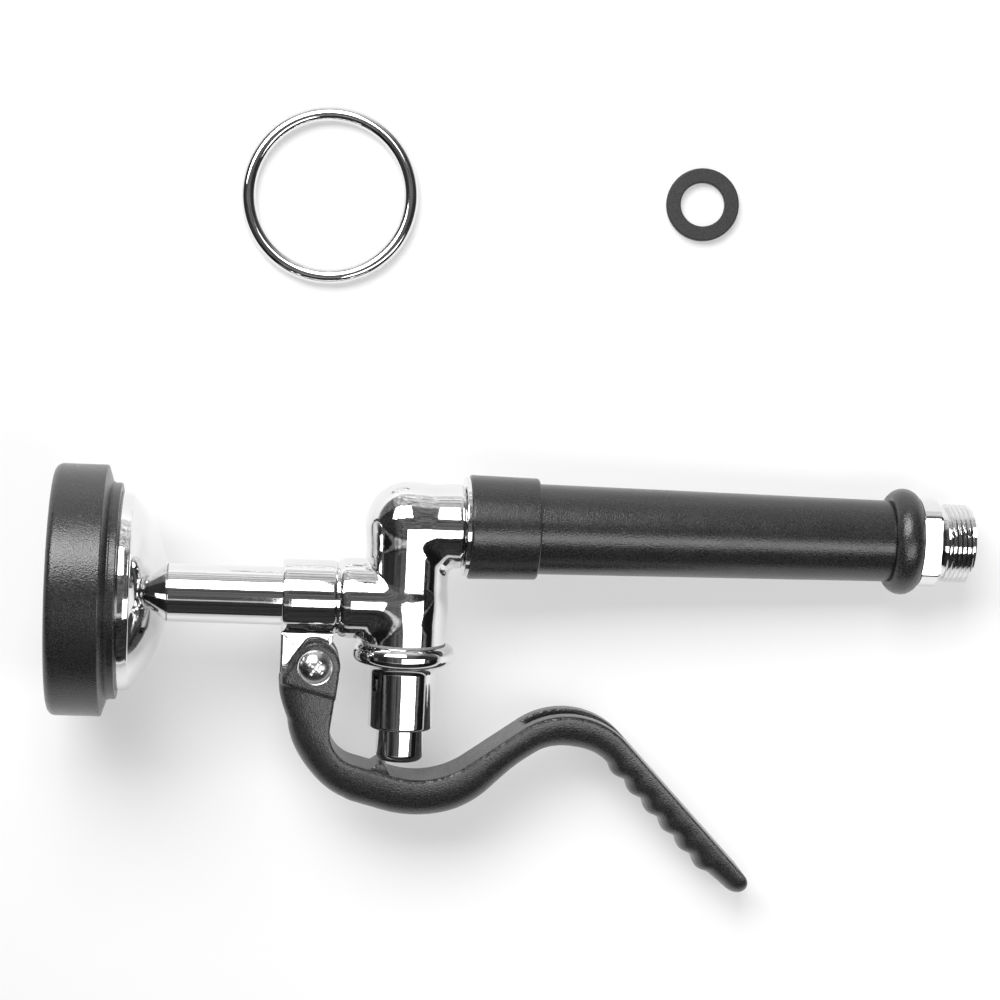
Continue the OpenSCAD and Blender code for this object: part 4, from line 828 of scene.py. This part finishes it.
# Each row is a place along the grip, a radius, and its kind.
ROUND, FLATTED, THREADED = 0, 1, 2
rows = [(RING_END, 9.4, ROUND), (RING_END, SPANNER_R - 0.5, FLATTED), (RING_END + 0.05, SPANNER_R - 0.4, FLATTED),
        (RING_END + 0.4, SPANNER_R, FLATTED)]
rows += [(x, SPANNER_R, FLATTED) for x in np.linspace(RING_END + 0.5, SPANNER_END - 0.4, 16)]
rows += [(SPANNER_END, SPANNER_R - 0.4, FLATTED), (SPANNER_END, RELIEF_R, ROUND),
         (SPANNER_END + 0.1, RELIEF_R - 0.05, ROUND), (RELIEF_END - 0.35, RELIEF_R - 0.05, ROUND),
         (RELIEF_END - 0.3, RELIEF_R, ROUND)]
rows += [(x, 0, THREADED) for x in np.arange(RELIEF_END - 0.25, INLET_END - 0.02, 0.07)]
rows += [(x, radius, ROUND) for x, radius in (
    (INLET_END, THREAD_ROOT), (INLET_END, BORE_R + 0.3), (INLET_END - 0.3, BORE_R), (SOCKET_START, BORE_R),
    (SOCKET_START, SOCKET_R), (RING_FROM, SOCKET_R), (RING_FROM, RING_R), (RING_TO, RING_R), (RING_TO, SOCKET_R),
    (RING_END, SOCKET_R))]
rows = np.array(rows)
angle = np.linspace(0, 2 * np.pi, 288, endpoint=False)
x, a = np.meshgrid(rows[:, 0], angle, indexing="ij")
radius, kind = np.broadcast_to(rows[:, 1:2], x.shape), np.broadcast_to(rows[:, 2:], x.shape)
flats = np.minimum(radius, SPANNER_HALF / np.maximum(np.abs(np.sin(a)), 1e-6))
wave = np.abs(np.mod((x - RELIEF_END) / THREAD_PITCH - a / (2 * np.pi), 1) * 2 - 1)
crest = np.minimum(THREAD_R, THREAD_R - 0.9 + np.maximum(INLET_END - x, 0) * 1.2)
crest = np.minimum(crest, RELIEF_R + np.maximum(x - RELIEF_END + 0.3, 0) * 2.2)
thread = np.maximum(crest - THREAD_DEEP * np.clip(wave * 1.5 - 0.25, 0, 1), THREAD_ROOT)
radius = np.where(kind == FLATTED, flats, np.where(kind == THREADED, thread, radius))
points = np.stack([x, GRIP_Y + radius * np.cos(a), radius * np.sin(a)], -1)
faces = grid_faces(len(rows), len(angle), True, True)
connector = make_piece("inlet_connector_turned", laid(points.reshape(-1, 3)), faces, polished)
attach(connector, "sprayer")
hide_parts("inlet_connector")

# ---- Loose pieces ----
# The hold-down ring is bent from chrome-plated wire and welded shut. The hose washer is punched
# from black rubber sheet. Both lie flat on the bench.
ring_low, ring_high = (np.array(corner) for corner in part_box("hold_down_ring"))
ring_middle, wire_r = (ring_low + ring_high) / 2, (ring_high[2] - ring_low[2]) / 2
ring_mean = (ring_high[0] - ring_low[0]) / 2 - wire_r
round_way, wire_way = (np.linspace(0, 2 * np.pi, steps, endpoint=False) for steps in (256, 48))
a, b = np.meshgrid(round_way, wire_way, indexing="ij")
reach = ring_mean + wire_r * np.cos(b)
points = np.stack([reach * np.cos(a), reach * np.sin(a), wire_r * np.sin(b)], -1) + ring_middle
hold_ring = make_piece("hold_down_wire", points.reshape(-1, 3), grid_faces(256, 48, True, True), polished)
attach(hold_ring, "hold_down_ring")
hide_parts("hold_down_ring")

PUNCHED_HOLE, PUNCHED_R, PUNCHED_THICK = 6.0, 9.95, 2.5
washer_low, washer_high = (np.array(corner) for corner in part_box("hose_washer"))
washer_middle = (washer_low + washer_high) / 2
washer_line = outline([(0, PUNCHED_HOLE, 0.35), (0, PUNCHED_R, 0.4), (PUNCHED_THICK, PUNCHED_R, 0.4),
                       (PUNCHED_THICK, PUNCHED_HOLE, 0.35)], gap=0.4) / 1000
angle = np.linspace(0, 2 * np.pi, 128, endpoint=False)
rise, reach = washer_line[:, :1], washer_line[:, 1:]
points = np.stack([washer_middle[0] + reach * np.cos(angle), washer_middle[1] + reach * np.sin(angle),
                   washer_low[2] + np.broadcast_to(rise, (len(rise), len(angle)))], -1)
washer = make_piece("hose_washer_punched", points.reshape(-1, 3), grid_faces(len(washer_line), 128, True, True),
                    black("washer_rubber", tone=0.03, rough=0.5, grain=0.00003, grain_size=0.0004))
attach(washer, "hose_washer")
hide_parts("hose_washer")

# ---- Working pieces ----
# Steel, brass, rubber and fibre pieces inside the valve and behind the bell keep their own solids
# and get the finish that each has: brushed steel, turned brass, moulded rubber, pressed fibre.


def machined(name, colour, rough, lines):
    """Bare metal off the lathe or the brush: fine tool lines in how dull it is and in its height."""
    metal = bpy.data.materials.new(name)
    metal.use_nodes = True
    add, join = nodes_of(metal.node_tree)
    skin = add("ShaderNodeBsdfPrincipled", {"Base Color": (*colour, 1), "Metallic": 1.0})
    place = add("ShaderNodeTexCoord")
    tool = add("ShaderNodeTexNoise", {"Scale": lines, "Detail": 3.0})
    patch = add("ShaderNodeTexNoise", {"Scale": 160.0, "Detail": 3.0})
    both = add("ShaderNodeMath", operation="ADD")
    dull = add("ShaderNodeMapRange", {"From Min": 0.7, "From Max": 1.3, "To Min": rough - 0.08,
                                      "To Max": rough + 0.1})
    rise = add("ShaderNodeBump", {"Strength": 0.25, "Distance": 0.00003})
    for texture in (tool, patch):
        join(place.outputs["Object"], texture.inputs["Vector"])
    join(tool.outputs[0], both.inputs[0])
    join(patch.outputs[0], both.inputs[1])
    join(both.outputs[0], dull.inputs["Value"])
    join(tool.outputs[0], rise.inputs["Height"])
    join(dull.outputs[0], skin.inputs["Roughness"])
    join(rise.outputs[0], skin.inputs["Normal"])
    join(skin.outputs[0], add("ShaderNodeOutputMaterial").inputs[0])
    return metal


steel = machined("brushed_steel", (0.62, 0.63, 0.64), rough=0.26, lines=1800.0)
brass = machined("turned_brass", (0.78, 0.60, 0.30), rough=0.3, lines=1500.0)
seal_rubber = black("seal_rubber", tone=0.03, rough=0.38, grain=0.00001, grain_size=0.0003)
fibre = black("pressed_fibre", tone=0.28, rough=0.8, grain=0.00004, grain_size=0.0002, sheen=0.2)
finishes = {"stainless": steel, "brass": brass, "seal_rubber": seal_rubber, "fibre": fibre}
for part in frame["record"]["subparts"]:
    node = frame["nodes"][part["node"]]
    if not node.hide_render:
        node.data.materials.clear()
        node.data.materials.append(finishes[part["material_slot"]])

# ---- Return spring ----
# Wound from stainless wire. It stands between the disc holder and the roof of the barrel, and
# is built at one length, fixed to the sprayer, though the real one shortens as the push pin lifts the disc.
COIL_LOW, COIL_HIGH, COIL_R, WIRE_R, COIL_TURNS, PIN_TRAVEL = 14.26, 25.94, 5.4, 0.45, 6, 6.0
angle = np.linspace(0, 2 * np.pi, 12, endpoint=False)
turn, a = np.meshgrid(np.linspace(0, COIL_TURNS, COIL_TURNS * 48 + 1), angle, indexing="ij")
wire = np.full(turn.shape, WIRE_R)
wire[[0, -1]] = 0.0005
reach = COIL_R + wire * np.cos(a)
rise = COIL_LOW + (COIL_HIGH - COIL_LOW) * turn / COIL_TURNS + wire * np.sin(a)
points = np.stack([reach * np.cos(2 * np.pi * turn), rise, reach * np.sin(2 * np.pi * turn)], -1)
faces = grid_faces(len(points), len(angle), False, True)
spring = make_piece("return_spring_wound", laid(points.reshape(-1, 3)), faces, steel)
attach(spring, "sprayer")
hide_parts("return_spring")
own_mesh(spring)
